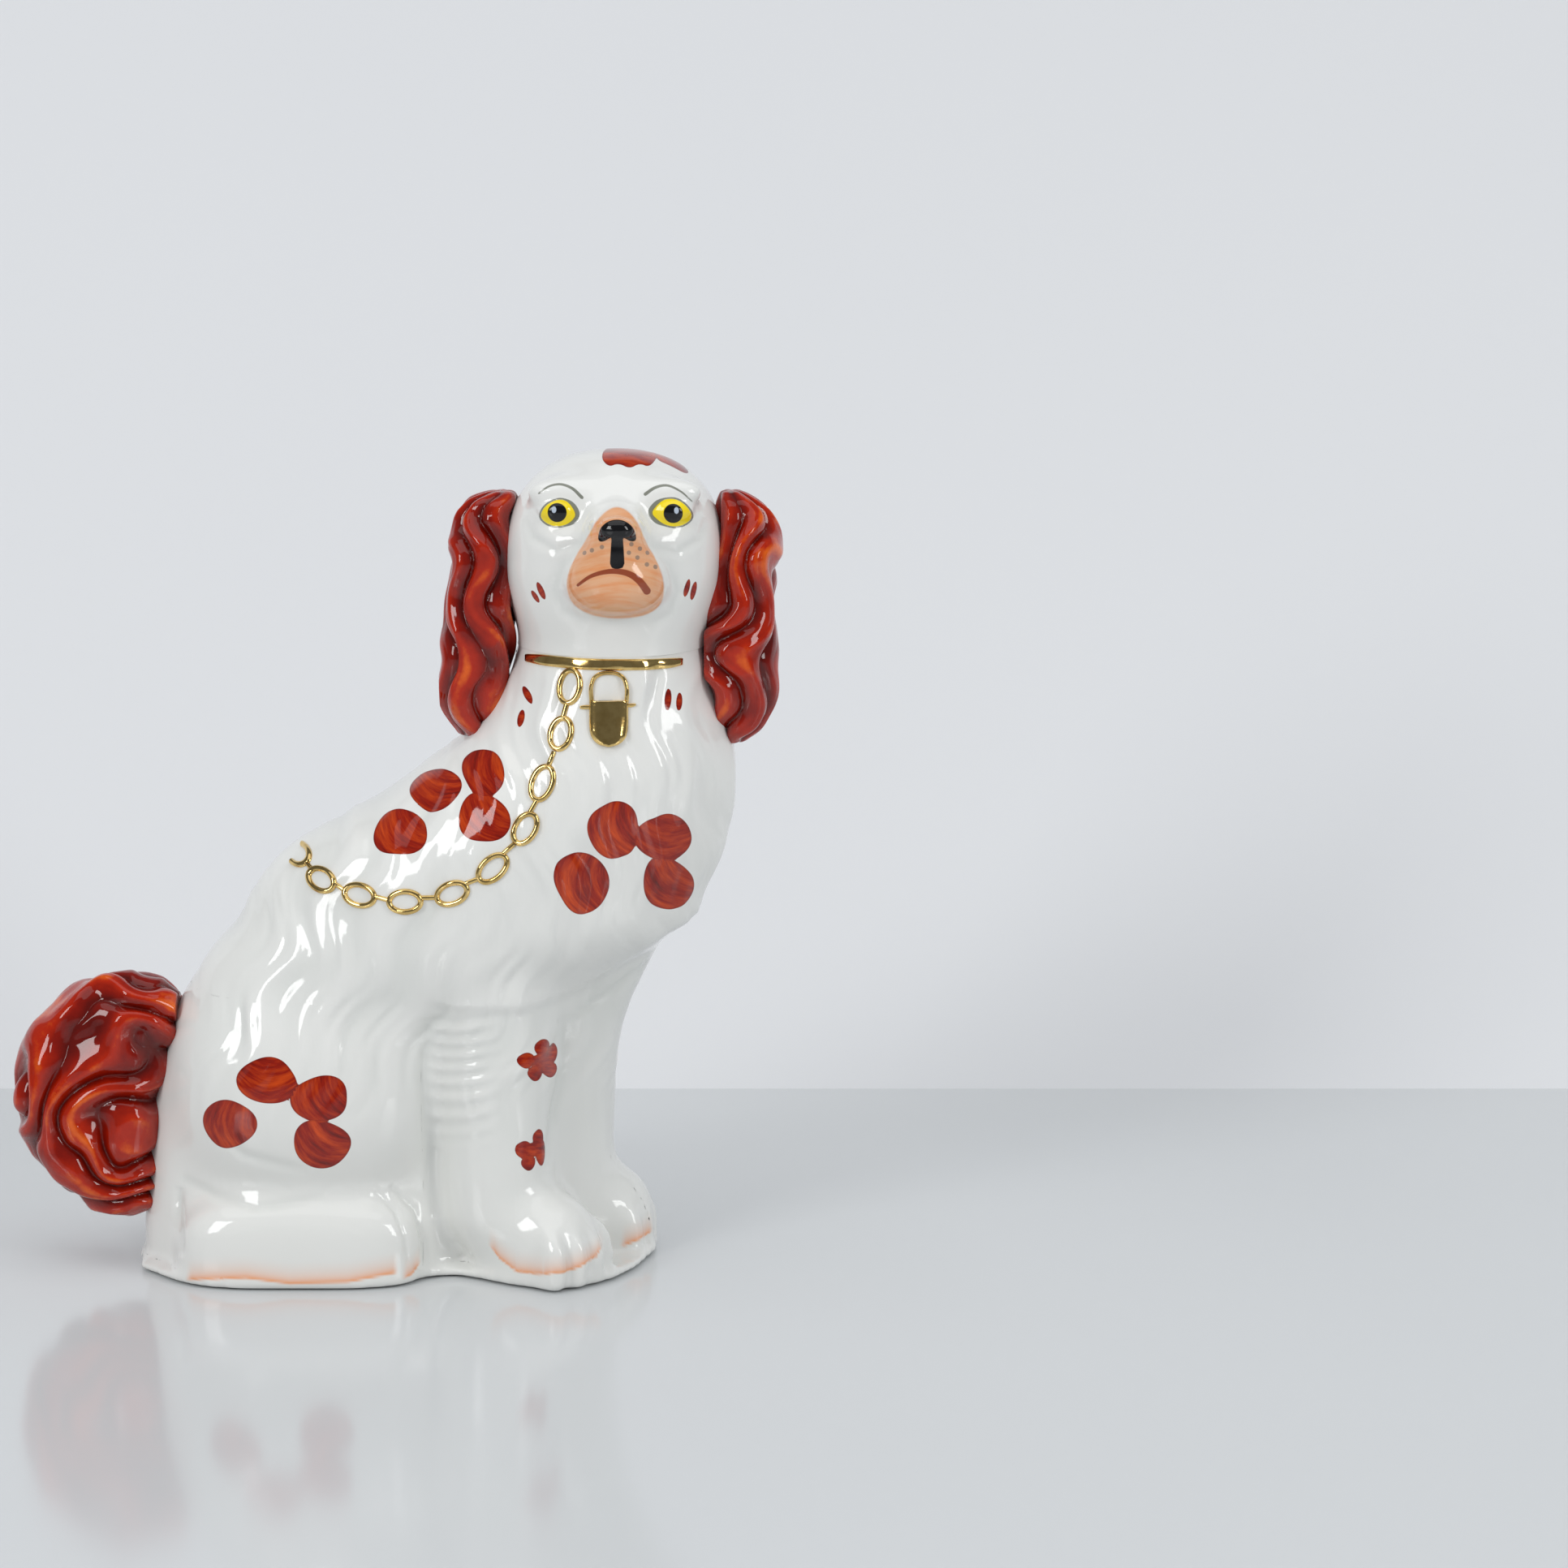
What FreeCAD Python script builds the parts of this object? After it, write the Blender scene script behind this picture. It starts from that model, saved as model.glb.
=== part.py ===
import FreeCAD, Part
import math
import os

from types import SimpleNamespace
from FreeCAD import Vector

# A seated spaniel mantel figure in glazed earthenware, ten inches tall, built as a potter builds one.
# The dog sits in profile along X, chest towards +X, and turns its head towards the viewer at -Y. +Z is up.
# The origin is the middle of the flat underside that the figure stands on.
# Body and head are hollow, each pressed in a near and a far half and joined along the mould seam.
# The forelegs, ears and tail are solid and luted on with slip, and so are the gilt sprigs: the collar,
# the padlock and the chain. A flat slab with a vent hole closes the underside.

# Driving dimensions in millimetres, degrees or counts
SIZES = [
    ("clay_wall", 4.5),
    ("cut_overrun", 10.0),
    # slab under the figure
    ("slab_thickness", 4.0),
    ("slab_lip", 1.2),
    ("slab_corner", 36.0),
    ("vent_radius", 4.0),
    ("vent_reach", 12.0),
    # torso, up to the luted joint at the neck
    ("torso_height", 194.5),
    ("rump_reach", 81.0),
    ("torso_length", 186.0),
    ("torso_near_depth", 43.0),
    ("torso_far_depth", 41.0),
    # thighs
    ("thigh_reach", 27.0),
    ("thigh_offset", 20.0),
    ("thigh_rise", 57.0),
    ("thigh_length", 74.0),
    ("thigh_depth", 45.0),
    ("thigh_height", 66.0),
    # hind feet
    ("hind_foot_reach", 30.0),
    ("hind_foot_offset", 26.0),
    ("hind_foot_length", 76.0),
    ("hind_foot_width", 35.0),
    ("hind_foot_height", 24.0),
    # forelegs: the near one stands back, the far one stands forward
    ("foreleg_height", 112.0),
    ("near_leg_reach", 30.0),
    ("near_leg_offset", 18.0),
    ("near_leg_width", 40.0),
    ("near_paw_forward", 13.0),
    ("near_paw_offset", 25.0),
    ("near_paw_length", 42.0),
    ("near_paw_turn", -38.0),
    ("far_leg_reach", 50.0),
    ("far_leg_offset", 14.0),
    ("far_leg_width", 36.0),
    ("far_paw_forward", 10.0),
    ("far_paw_offset", 8.0),
    ("far_paw_length", 37.0),
    ("far_paw_turn", -8.0),
    ("paw_width", 31.0),
    ("paw_height", 38.0),
    ("paw_rise", 9.0),
    # toes of the forefeet
    ("toe_count", 4),
    ("toe_length", 17.0),
    ("toe_width", 9.2),
    ("toe_height", 22.0),
    # head, above the luted joint
    ("head_reach", 68.0),
    ("head_offset", 2.0),
    ("head_width", 67.0),
    ("head_depth", 64.0),
    ("head_height", 59.5),
    # muzzle and nose
    ("muzzle_width", 30.5),
    ("muzzle_height", 34.0),
    ("muzzle_reach", 12.0),
    ("muzzle_rise", 30.0),
    ("nose_width", 11.5),
    ("nose_height", 7.5),
    ("nose_depth", 6.0),
    # eyes, raised in their sockets
    ("eye_spacing", 34.6),
    ("eye_rise", 44.0),
    ("eye_width", 13.0),
    ("eye_height", 10.0),
    ("eye_depth", 7.0),
    # ears
    ("ear_length", 76.0),
    ("ear_width", 24.0),
    ("ear_depth", 30.0),
    ("ear_spread", 39.0),
    ("ear_rise", 47.0),
    # tail
    ("tail_reach", 84.4),
    ("tail_offset", 5.0),
    ("tail_rise", 41.3),
    ("tail_size", 51.4),
    ("tail_depth", 34.0),
    # gilt collar
    ("collar_height", 3.6),
    ("collar_span", 46.0),
    ("collar_reach", 64.5),
    ("collar_drop", 2.2),
    ("sprig_proud", 0.8),
    # gilt padlock
    ("padlock_reach", 66.4),
    ("padlock_width", 11.8),
    ("padlock_height", 13.8),
    ("padlock_proud", 2.0),
    ("shackle_height", 9.0),
    ("shackle_wire", 1.5),
    ("shackle_proud", 1.4),
    ("pin_length", 16.6),
    ("pin_wire", 1.5),
    # gilt chain
    ("link_width", 9.2),
    ("link_band", 1.5),
]

# Torso sections from the slab up: height as a share of torso_height, back and front as shares of
# torso_length from the rump, near and far side as shares of their own depths
TORSO_LEVEL_SHARES = [
    (0.000, 0.003, 0.618, 0.767, 0.767),
    (0.105, 0.022, 0.629, 0.698, 0.698),
    (0.199, 0.038, 0.629, 0.674, 0.674),
    (0.294, 0.054, 0.640, 0.698, 0.698),
    (0.399, 0.081, 0.683, 0.791, 0.791),
    (0.478, 0.116, 0.812, 0.884, 0.884),
    (0.546, 0.160, 0.925, 0.953, 0.953),
    (0.614, 0.205, 0.957, 0.977, 0.977),
    (0.680, 0.275, 0.987, 0.977, 0.977),
    (0.745, 0.390, 0.997, 0.953, 0.953),
    (0.814, 0.499, 0.997, 0.884, 0.884),
    (0.882, 0.575, 0.981, 0.802, 0.802),
    (0.945, 0.618, 0.960, 0.744, 0.744),
    (1.000, 0.638, 0.951, 0.712, 0.712),
]

# The head from the neck joint to the crown: height and girth shares
HEAD_PROFILE_SHARES = [
    (0.000, 0.875),
    (0.120, 0.900),
    (0.250, 0.950),
    (0.430, 1.000),
    (0.560, 1.000),
    (0.720, 0.920),
    (0.860, 0.745),
    (0.960, 0.440),
    (1.000, 0.130),
]

# A hind foot from its sole to its top: height and girth shares
FOOT_PROFILE_SHARES = [
    (0.000, 0.998),
    (0.417, 0.994),
    (0.667, 0.934),
    (0.833, 0.810),
    (0.937, 0.624),
    (1.000, 0.250),
]

# Foreleg sections from the slab up: height and girth shares
FORELEG_LEVEL_SHARES = [
    (0.000, 0.850),
    (0.170, 0.850),
    (0.550, 0.920),
    (0.920, 1.000),
    (1.000, 1.000),
]

# Muzzle sections from inside the cheeks to the front of the snout: reach, girth and lift shares
MUZZLE_LEVEL_SHARES = [
    (-1.20, 1.06, 0.00),
    (0.30, 0.98, 0.00),
    (0.80, 0.86, 0.01),
    (1.00, 0.70, 0.02),
]
MUZZLE_TAPER_SHARE = 0.30

# Ear sections from the top down: height, width, depth and sideways shares, the last away from the head
EAR_LEVEL_SHARES = [
    (0.00, 0.30, 0.36, -0.22),
    (0.04, 0.60, 0.62, -0.12),
    (0.16, 0.82, 0.90, -0.02),
    (0.32, 0.94, 1.00, 0.06),
    (0.48, 0.90, 0.94, 0.02),
    (0.64, 0.98, 0.96, 0.04),
    (0.80, 1.02, 0.96, 0.04),
    (0.92, 0.80, 0.76, 0.00),
    (1.00, 0.26, 0.26, -0.08),
]

# The tail's outline round its curl: how far it reaches, as a share of tail_size, in equal turns from
# the rump, up over the top and round the back
TAIL_REACH_SHARES = [
    0.226,
    0.255,
    0.307,
    0.479,
    0.938,
    1.000,
    0.947,
    0.879,
    0.800,
    0.718,
    0.654,
    0.597,
    0.562,
    0.525,
    0.521,
    0.543,
    0.506,
    0.360,
    0.267,
    0.228,
]
# Locks that run round the curl, from its middle to its rim: reach and depth shares, ridge and groove in turn
TAIL_LOCK_SHARES = [
    (0.04, 0.86),
    (0.16, 1.00),
    (0.28, 0.80),
    (0.40, 1.00),
    (0.52, 0.79),
    (0.64, 0.92),
    (0.76, 0.64),
    (0.87, 0.68),
    (0.95, 0.42),
    (1.00, 0.12),
]
# Carved locks of the ears: how many stand round a section, how proud, their turn in degrees from top to
# tip, and the points that draw each one
EAR_LOCKS = 3
EAR_LOCK_SHARE = 0.13
EAR_LOCK_TURN = 200.0
LOCK_POINTS = 6

# Middles of the chain's links from the collar to the flank: shares of torso_length from the rump and of
# torso_height. The first place is under the collar, where the chain starts, and the last link is open.
CHAIN_SHARES = [
    (0.733, 0.984),
    (0.726, 0.940),
    (0.713, 0.878),
    (0.684, 0.802),
    (0.655, 0.732),
    (0.605, 0.670),
    (0.536, 0.630),
    (0.460, 0.614),
    (0.386, 0.620),
    (0.320, 0.645),
    (0.278, 0.690),
]
LINK_SHARE = 0.76

# Flat sides round each kind of section, and the rows drawn from each row of a table
TORSO_SIDES = 26
LIMB_SIDES = 18
HOLLOW_SIDES = 14
SMALL_SIDES = 10
ROUND_ROWS = 7
FINE = 2
EYE_SEAT_SHARE = 0.38
NOSE_LIFT_SHARE = 0.31
NOSE_REACH_SHARE = 0.70
TOE_SPREAD = 16.0
TOE_BACK_SHARE = 0.41
TOE_CURVE_SHARE = 0.25
TOE_IN_SHARE = 0.15
TOE_LIFT_SHARE = 0.18
CORNER_ROOM_SHARE = 0.96
UPRIGHT_SHARE = 0.5
POLE_SHARE = 0.12
# How far eggs and the plans of the hind feet are from round towards square, where 1 is round
EGG_ROUND_SHARE = 0.91
FOOT_ROUND_SHARE = 0.65

doc = FreeCAD.newDocument("seated_spaniel")
sheet = doc.addObject("Spreadsheet::Sheet", "Sizes")
for row, (alias, value) in enumerate(SIZES, start=1):
    sheet.set("A%d" % row, alias)
    sheet.set("B%d" % row, str(value))
    sheet.setAlias("B%d" % row, alias)
doc.recompute()
mm = SimpleNamespace(**{alias: float(sheet.get(alias)) for alias, value in SIZES})


def bind(item, formulas):
    """Ties properties of a document object to cells of the sheet."""
    for name, formula in formulas.items():
        item.setExpression(name, formula)


def form(name, shape):
    """A free form that no primitive or sketch describes."""
    item = doc.addObject("Part::Feature", name)
    item.Shape = shape
    return item


def fused(name, items):
    item = doc.addObject("Part::MultiFuse", name)
    item.Shapes = items
    return item


def common(name, items):
    item = doc.addObject("Part::MultiCommon", name)
    item.Shapes = items
    return item


def cut(name, base, tool):
    item = doc.addObject("Part::Cut", name)
    item.Base = base
    item.Tool = tool
    return item


def block(name, formulas):
    item = doc.addObject("Part::Box", name)
    bind(item, formulas)
    return item


def fuller(value, round_share):
    """A sine or cosine pushed out towards a square's."""
    return math.copysign(abs(value) ** round_share, value)


def oval(sides, height, back, front, near, far, round_share=1):
    """A closed level section of flat sides that reaches from back to front and from near to far."""
    middle = Vector((back + front) / 2, (near + far) / 2, height)
    points = []
    for step in range(sides):
        angle = 2 * math.pi * step / sides
        across = fuller(math.cos(angle), round_share) * (front - back) / 2
        along = fuller(math.sin(angle), round_share) * (far - near) / 2
        points.append(middle + Vector(across, along, 0))
    return points


def facet(corners):
    return Part.Face(Part.makePolygon(corners + corners[:1]))


def loft(sections):
    """A closed form of flat facets, drawn from the points of each section to those of the next."""
    faces = [facet(sections[0]), facet(sections[-1])]
    for lower, upper in zip(sections, sections[1:]):
        for number in range(len(lower)):
            beside = (number + 1) % len(lower)
            faces.append(facet([lower[number], lower[beside], upper[beside]]))
            faces.append(facet([lower[number], upper[beside], upper[number]]))
    skin = Part.makeShell(faces)
    skin.sewShape()
    solid = Part.makeSolid(skin)
    if solid.Volume < 0:
        solid.reverse()
    return solid


def finer(rows, steps):
    """Rows of shares with more rows between them, on a smooth curve through the ones given."""
    last = len(rows) - 1
    made = []
    for number in range(last):
        before, start, end, after = (rows[min(max(number + k, 0), last)] for k in (-1, 0, 1, 2))
        stretch = end[0] - start[0]
        for step in range(steps):
            t = step / steps
            row = [start[0] + t * stretch]
            for column in range(1, len(start)):
                rise_in = stretch * (end[column] - before[column]) / (end[0] - before[0])
                rise_out = stretch * (after[column] - start[column]) / (after[0] - start[0])
                row.append(
                    (2 * t**3 - 3 * t**2 + 1) * start[column]
                    + (t**3 - 2 * t**2 + t) * rise_in
                    + (3 * t**2 - 2 * t**3) * end[column]
                    + (t**3 - t**2) * rise_out
                )
            made.append(row)
    return made + [rows[last]]


def rounded(sides, middle, length, depth, height):
    """An egg of level ovals round its middle, with a small flat at each pole."""
    sections = []
    for row in range(ROUND_ROWS + 1):
        angle = math.pi * row / ROUND_ROWS
        girth = max(fuller(math.sin(angle), EGG_ROUND_SHARE), POLE_SHARE)
        sections.append(
            oval(
                sides,
                middle.z - fuller(math.cos(angle), EGG_ROUND_SHARE) * height / 2,
                middle.x - girth * length / 2,
                middle.x + girth * length / 2,
                middle.y - girth * depth / 2,
                middle.y + girth * depth / 2,
            )
        )
    return loft(sections)


def domed(sides, profile_shares, foot, length, depth, height, round_share=1):
    """A form of level ovals, each a share of its length and depth, that closes over the top."""
    sections = []
    for rise, girth in finer(profile_shares, FINE):
        half_length = girth * length / 2
        half_depth = girth * depth / 2
        sections.append(
            oval(
                sides,
                foot.z + rise * height,
                foot.x - half_length,
                foot.x + half_length,
                foot.y - half_depth,
                foot.y + half_depth,
                round_share,
            )
        )
    return loft(sections)


def torso(inset, sides, steps):
    """The torso as one closed form, drawn in by inset on every side."""
    sections = []
    for rise, back, front, near, far in finer(TORSO_LEVEL_SHARES, steps):
        sections.append(
            oval(
                sides,
                mm.slab_thickness + rise * (mm.torso_height - mm.slab_thickness),
                back * mm.torso_length - mm.rump_reach + inset,
                front * mm.torso_length - mm.rump_reach - inset,
                inset - near * mm.torso_near_depth,
                far * mm.torso_far_depth - inset,
            )
        )
    return loft(sections)


def paw_with_toes(name, place, length, turn):
    """A paw that points turn degrees away from +X, with its toes side by side at the front."""
    aim = FreeCAD.Rotation(Vector(0, 0, 1), turn)
    paw = form(name + "Paw", rounded(LIMB_SIDES, Vector(0, 0, 0), length, mm.paw_width, mm.paw_height))
    paw.Placement = FreeCAD.Placement(place + Vector(0, 0, mm.paw_rise), aim)
    made = [paw]
    for number in range(int(mm.toe_count)):
        share = (2 * number + 1) / mm.toe_count - 1
        forward = length / 2 - (TOE_BACK_SHARE + TOE_CURVE_SHARE * share * share) * mm.toe_length
        sideways = share * (mm.paw_width / 2 - TOE_IN_SHARE * mm.toe_length)
        lift = mm.slab_thickness + TOE_LIFT_SHARE * mm.toe_height
        shape = rounded(SMALL_SIDES, Vector(0, 0, 0), mm.toe_length, mm.toe_width, mm.toe_height)
        toe = form("%sToe%d" % (name, number + 1), shape)
        toe_aim = FreeCAD.Rotation(Vector(0, 0, 1), turn + share * TOE_SPREAD)
        toe.Placement = FreeCAD.Placement(place + aim.multVec(Vector(forward, sideways, lift)), toe_aim)
        made.append(toe)
    return made


def foreleg(reach, offset, width):
    """The column of a foreleg, from the slab up into the chest."""
    sections = []
    for rise, girth in finer(FORELEG_LEVEL_SHARES, FINE):
        half = girth * width / 2
        height = mm.slab_thickness + rise * (mm.foreleg_height - mm.slab_thickness)
        sections.append(oval(LIMB_SIDES, height, reach - half, reach + half, offset - half, offset + half))
    return loft(sections)


def locks(levels, top, width, depth, height, count, proud_share, turn):
    """A hanging bunch of carved hair: lobed level sections that turn on the way from top to tip."""
    sections = []
    steps = LOCK_POINTS * count
    for drop, width_share, depth_share, side_share in finer(levels, FINE):
        middle = top + Vector(side_share * width, 0, -drop * height)
        points = []
        for step in range(steps):
            angle = 2 * math.pi * step / steps
            reach = 1 + proud_share * math.cos(count * angle - math.radians(turn * drop))
            across = math.cos(angle) * reach * width_share * width / 2
            along = math.sin(angle) * reach * depth_share * depth / 2
            points.append(middle + Vector(across, along, 0))
        sections.append(points)
    return loft(sections)


# Slab with its vent hole
slab = doc.addObject("PartDesign::Body", "base_slab")
plate = slab.newObject("PartDesign::AdditiveBox", "SlabPlate")
SLAB_FRONT = "(Sizes.far_leg_reach + Sizes.far_paw_forward + Sizes.far_paw_length / 2 + Sizes.slab_lip)"
SLAB_BACK = "(Sizes.rump_reach + Sizes.slab_lip)"
SLAB_NEAR = "(Sizes.hind_foot_offset + Sizes.hind_foot_width / 2 + Sizes.slab_lip)"
bind(plate, {"Length": "%s + %s" % (SLAB_FRONT, SLAB_BACK), "Width": "2 * %s" % SLAB_NEAR})
bind(plate, {"Height": "Sizes.slab_thickness"})
bind(plate, {"Placement.Base.x": "-%s" % SLAB_BACK, "Placement.Base.y": "-%s" % SLAB_NEAR})
doc.recompute()
upright = [
    "Edge%d" % number
    for number, edge in enumerate(plate.Shape.Edges, start=1)
    if abs(edge.tangentAt(edge.FirstParameter).z) > UPRIGHT_SHARE
]
corners = slab.newObject("PartDesign::Fillet", "SlabCorners")
corners.Base = (plate, upright)
bind(corners, {"Radius": "min(Sizes.slab_corner; %s * %s)" % (CORNER_ROOM_SHARE, SLAB_NEAR)})
doc.recompute()
vent = slab.newObject("PartDesign::SubtractiveCylinder", "SlabVent")
bind(vent, {"Radius": "Sizes.vent_radius", "Height": "Sizes.slab_thickness + 2 * Sizes.cut_overrun"})
bind(vent, {"Placement.Base.x": "-Sizes.vent_reach", "Placement.Base.z": "-Sizes.cut_overrun"})
slab.Tip = vent

# Blocks that divide the castings along the mould seam, and one that trims the paws on the slab
REACH = "(Sizes.torso_length + Sizes.tail_size)"
ABOVE = "(Sizes.torso_height + Sizes.head_height + Sizes.cut_overrun)"
near_block = block("NearSide", {"Length": "2 * %s" % REACH, "Width": REACH, "Height": ABOVE})
bind(near_block, {"Placement.Base.x": "-%s" % REACH, "Placement.Base.y": "-%s" % REACH})
far_block = block("FarSide", {"Length": "2 * %s" % REACH, "Width": REACH, "Height": ABOVE})
bind(far_block, {"Placement.Base.x": "-%s" % REACH})
under_block = block("UnderSlab", {"Length": "2 * %s" % REACH, "Width": "2 * %s" % REACH})
bind(under_block, {"Height": "Sizes.slab_thickness + Sizes.cut_overrun", "Placement.Base.x": "-%s" % REACH})
bind(under_block, {"Placement.Base.y": "-%s" % REACH, "Placement.Base.z": "-Sizes.cut_overrun"})

# Body: torso, thighs and hind feet in one hollow casting, in two halves
torso_outside = form("TorsoOutside", torso(0, TORSO_SIDES, FINE))
outside_parts = [torso_outside]
inside_parts = [form("TorsoInside", torso(mm.clay_wall, HOLLOW_SIDES, 1))]
for name, side in (("Near", -1), ("Far", 1)):
    hip = Vector(-mm.thigh_reach, side * mm.thigh_offset, mm.thigh_rise)
    thigh = rounded(LIMB_SIDES, hip, mm.thigh_length, mm.thigh_depth, mm.thigh_height)
    outside_parts.append(form(name + "Thigh", thigh))
    thigh_hollow = rounded(
        HOLLOW_SIDES,
        hip,
        mm.thigh_length - 2 * mm.clay_wall,
        mm.thigh_depth - 2 * mm.clay_wall,
        mm.thigh_height - 2 * mm.clay_wall,
    )
    inside_parts.append(form(name + "ThighHollow", thigh_hollow))
    sole = Vector(-mm.hind_foot_reach, side * mm.hind_foot_offset, mm.slab_thickness)
    foot = domed(
        LIMB_SIDES,
        FOOT_PROFILE_SHARES,
        sole,
        mm.hind_foot_length,
        mm.hind_foot_width,
        mm.hind_foot_height,
        FOOT_ROUND_SHARE,
    )
    outside_parts.append(form(name + "HindFoot", foot))
body_outside = fused("BodyOutside", outside_parts)
body_wall = cut("BodyWall", body_outside, fused("BodyInside", inside_parts))
near_body = common("body_near_half", [body_wall, near_block])
far_body = common("body_far_half", [body_wall, far_block])

# Forelegs, seated against the chest
near_leg = foreleg(mm.near_leg_reach, -mm.near_leg_offset, mm.near_leg_width)
far_leg = foreleg(mm.far_leg_reach, mm.far_leg_offset, mm.far_leg_width)
near_paw = Vector(mm.near_leg_reach + mm.near_paw_forward, -mm.near_paw_offset, 0)
far_paw = Vector(mm.far_leg_reach + mm.far_paw_forward, mm.far_paw_offset, 0)
near_parts = paw_with_toes("Near", near_paw, mm.near_paw_length, mm.near_paw_turn)
far_parts = paw_with_toes("Far", far_paw, mm.far_paw_length, mm.far_paw_turn)
near_limb = cut("NearLimb", fused("NearLegAndPaw", [form("NearLeg", near_leg)] + near_parts), under_block)
far_limb = cut("FarLimb", fused("FarLegAndPaw", [form("FarLeg", far_leg)] + far_parts), under_block)
near_foreleg = cut("near_foreleg", near_limb, body_outside)
far_foreleg = cut("far_foreleg", far_limb, body_outside)

# Head: one hollow casting in two halves, with the muzzle, nose and eyes raised on the near one
neck = Vector(mm.head_reach, -mm.head_offset, mm.torso_height)
dome = domed(TORSO_SIDES, HEAD_PROFILE_SHARES, neck, mm.head_width, mm.head_depth, mm.head_height)
hollow = domed(
    HOLLOW_SIDES,
    HEAD_PROFILE_SHARES,
    neck,
    mm.head_width - 2 * mm.clay_wall,
    mm.head_depth - 2 * mm.clay_wall,
    mm.head_height - mm.clay_wall,
)


def snout():
    """The muzzle: pear-shaped upright sections, narrow between the eyes and full at the chin."""
    face = -mm.head_offset - mm.head_depth / 2
    sections = []
    for reach, girth, lift in finer(MUZZLE_LEVEL_SHARES, FINE):
        height = mm.torso_height + mm.muzzle_rise + lift * mm.muzzle_height
        middle = Vector(mm.head_reach, face - reach * mm.muzzle_reach, height)
        points = []
        for step in range(LIMB_SIDES):
            angle = 2 * math.pi * step / LIMB_SIDES
            taper = 1 - MUZZLE_TAPER_SHARE * math.sin(angle)
            across = math.cos(angle) * taper * girth * mm.muzzle_width / 2
            points.append(middle + Vector(across, 0, math.sin(angle) * girth * mm.muzzle_height / 2))
        sections.append(points)
    return loft(sections)


nose_reach = -mm.head_offset - mm.head_depth / 2 - NOSE_REACH_SHARE * mm.muzzle_reach
nose_rise = mm.torso_height + mm.muzzle_rise + NOSE_LIFT_SHARE * mm.muzzle_height
nose_place = Vector(mm.head_reach, nose_reach, nose_rise)
nose = rounded(SMALL_SIDES, nose_place, mm.nose_width, 2 * mm.nose_depth, mm.nose_height)
head_parts = [form("HeadDome", dome), form("Snout", snout()), form("Nose", nose)]
for name, side in (("Right", -1), ("Left", 1)):
    eye_seat = -mm.head_offset - EYE_SEAT_SHARE * mm.head_depth
    eye_place = Vector(mm.head_reach + side * mm.eye_spacing / 2, eye_seat, mm.torso_height + mm.eye_rise)
    eye = rounded(LIMB_SIDES, eye_place, mm.eye_width, mm.eye_depth, mm.eye_height)
    head_parts.append(form(name + "Eye", eye))
head_outside = fused("HeadOutside", head_parts)
head_wall = cut("HeadWall", head_outside, form("HeadHollow", hollow))
near_head = common("head_front_half", [head_wall, near_block])
far_head = common("head_back_half", [head_wall, far_block])


# Gilt sprigs: outlines on the XZ plane, pushed out through the near side and left standing proud of it
def outline_face(edges):
    return Part.Face(Part.Wire(edges))


def strip(start, end, width):
    """A straight strip along the line from start to end."""
    across = Vector(start.z - end.z, 0, end.x - start.x).normalize() * (width / 2)
    points = [start + across, end + across, end - across, start - across]
    return Part.Face(Part.makePolygon(points + points[:1]))


def lens(middle, along, length, width):
    """An eye-shaped face: two arcs that meet at the ends of its length."""
    bulge = Vector(-along.z, 0, along.x) * (width / 2)
    start = middle - along * (length / 2)
    end = middle + along * (length / 2)
    upper_lid = Part.Arc(start, middle + bulge, end).toShape()
    lower_lid = Part.Arc(end, middle - bulge, start).toShape()
    return outline_face([upper_lid, lower_lid])


def raised(name, outlines, proud):
    """The part of the outlines, pushed through the chest, that stands between its surface and proud of it."""
    depth = mm.torso_near_depth + mm.cut_overrun
    pushed = [outline.extrude(Vector(0, -depth, 0)) for outline in outlines]
    if len(pushed) > 1:
        pushed = [pushed[0].fuse(pushed[1:]).removeSplitter()]
    skin = form(name + "_reach", torso(-proud, TORSO_SIDES, FINE))
    relief = common(name + "_relief", [form(name + "_pushed", pushed[0]), skin])
    return cut(name, relief, torso_outside)


# Collar: a band with round ends across the front of the neck, just under the luted joint
collar_rise = mm.torso_height - mm.collar_drop
collar_half = mm.collar_height / 2
collar_left = mm.collar_reach - mm.collar_span / 2 + collar_half
collar_right = mm.collar_reach + mm.collar_span / 2 - collar_half
collar_outline = outline_face(
    [
        Part.makeLine(
            Vector(collar_left, 0, collar_rise + collar_half),
            Vector(collar_right, 0, collar_rise + collar_half),
        ),
        Part.Arc(
            Vector(collar_right, 0, collar_rise + collar_half),
            Vector(collar_right + collar_half, 0, collar_rise),
            Vector(collar_right, 0, collar_rise - collar_half),
        ).toShape(),
        Part.makeLine(
            Vector(collar_right, 0, collar_rise - collar_half),
            Vector(collar_left, 0, collar_rise - collar_half),
        ),
        Part.Arc(
            Vector(collar_left, 0, collar_rise - collar_half),
            Vector(collar_left - collar_half, 0, collar_rise),
            Vector(collar_left, 0, collar_rise + collar_half),
        ).toShape(),
    ]
)
collar = raised("collar", [collar_outline], mm.sprig_proud)

# Padlock: a plate with a round foot, the bow of its shackle above it, and a cross pin
plate_half = mm.padlock_width / 2
plate_top = collar_rise - collar_half - mm.shackle_height
plate_turn = plate_top - mm.padlock_height + plate_half
left = mm.padlock_reach - plate_half
right = mm.padlock_reach + plate_half
plate_outline = outline_face(
    [
        Part.makeLine(Vector(left, 0, plate_top), Vector(right, 0, plate_top)),
        Part.makeLine(Vector(right, 0, plate_top), Vector(right, 0, plate_turn)),
        Part.Arc(
            Vector(right, 0, plate_turn),
            Vector(mm.padlock_reach, 0, plate_turn - plate_half),
            Vector(left, 0, plate_turn),
        ).toShape(),
        Part.makeLine(Vector(left, 0, plate_turn), Vector(left, 0, plate_top)),
    ]
)
padlock_body = raised("padlock_body", [plate_outline], mm.padlock_proud)


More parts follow.
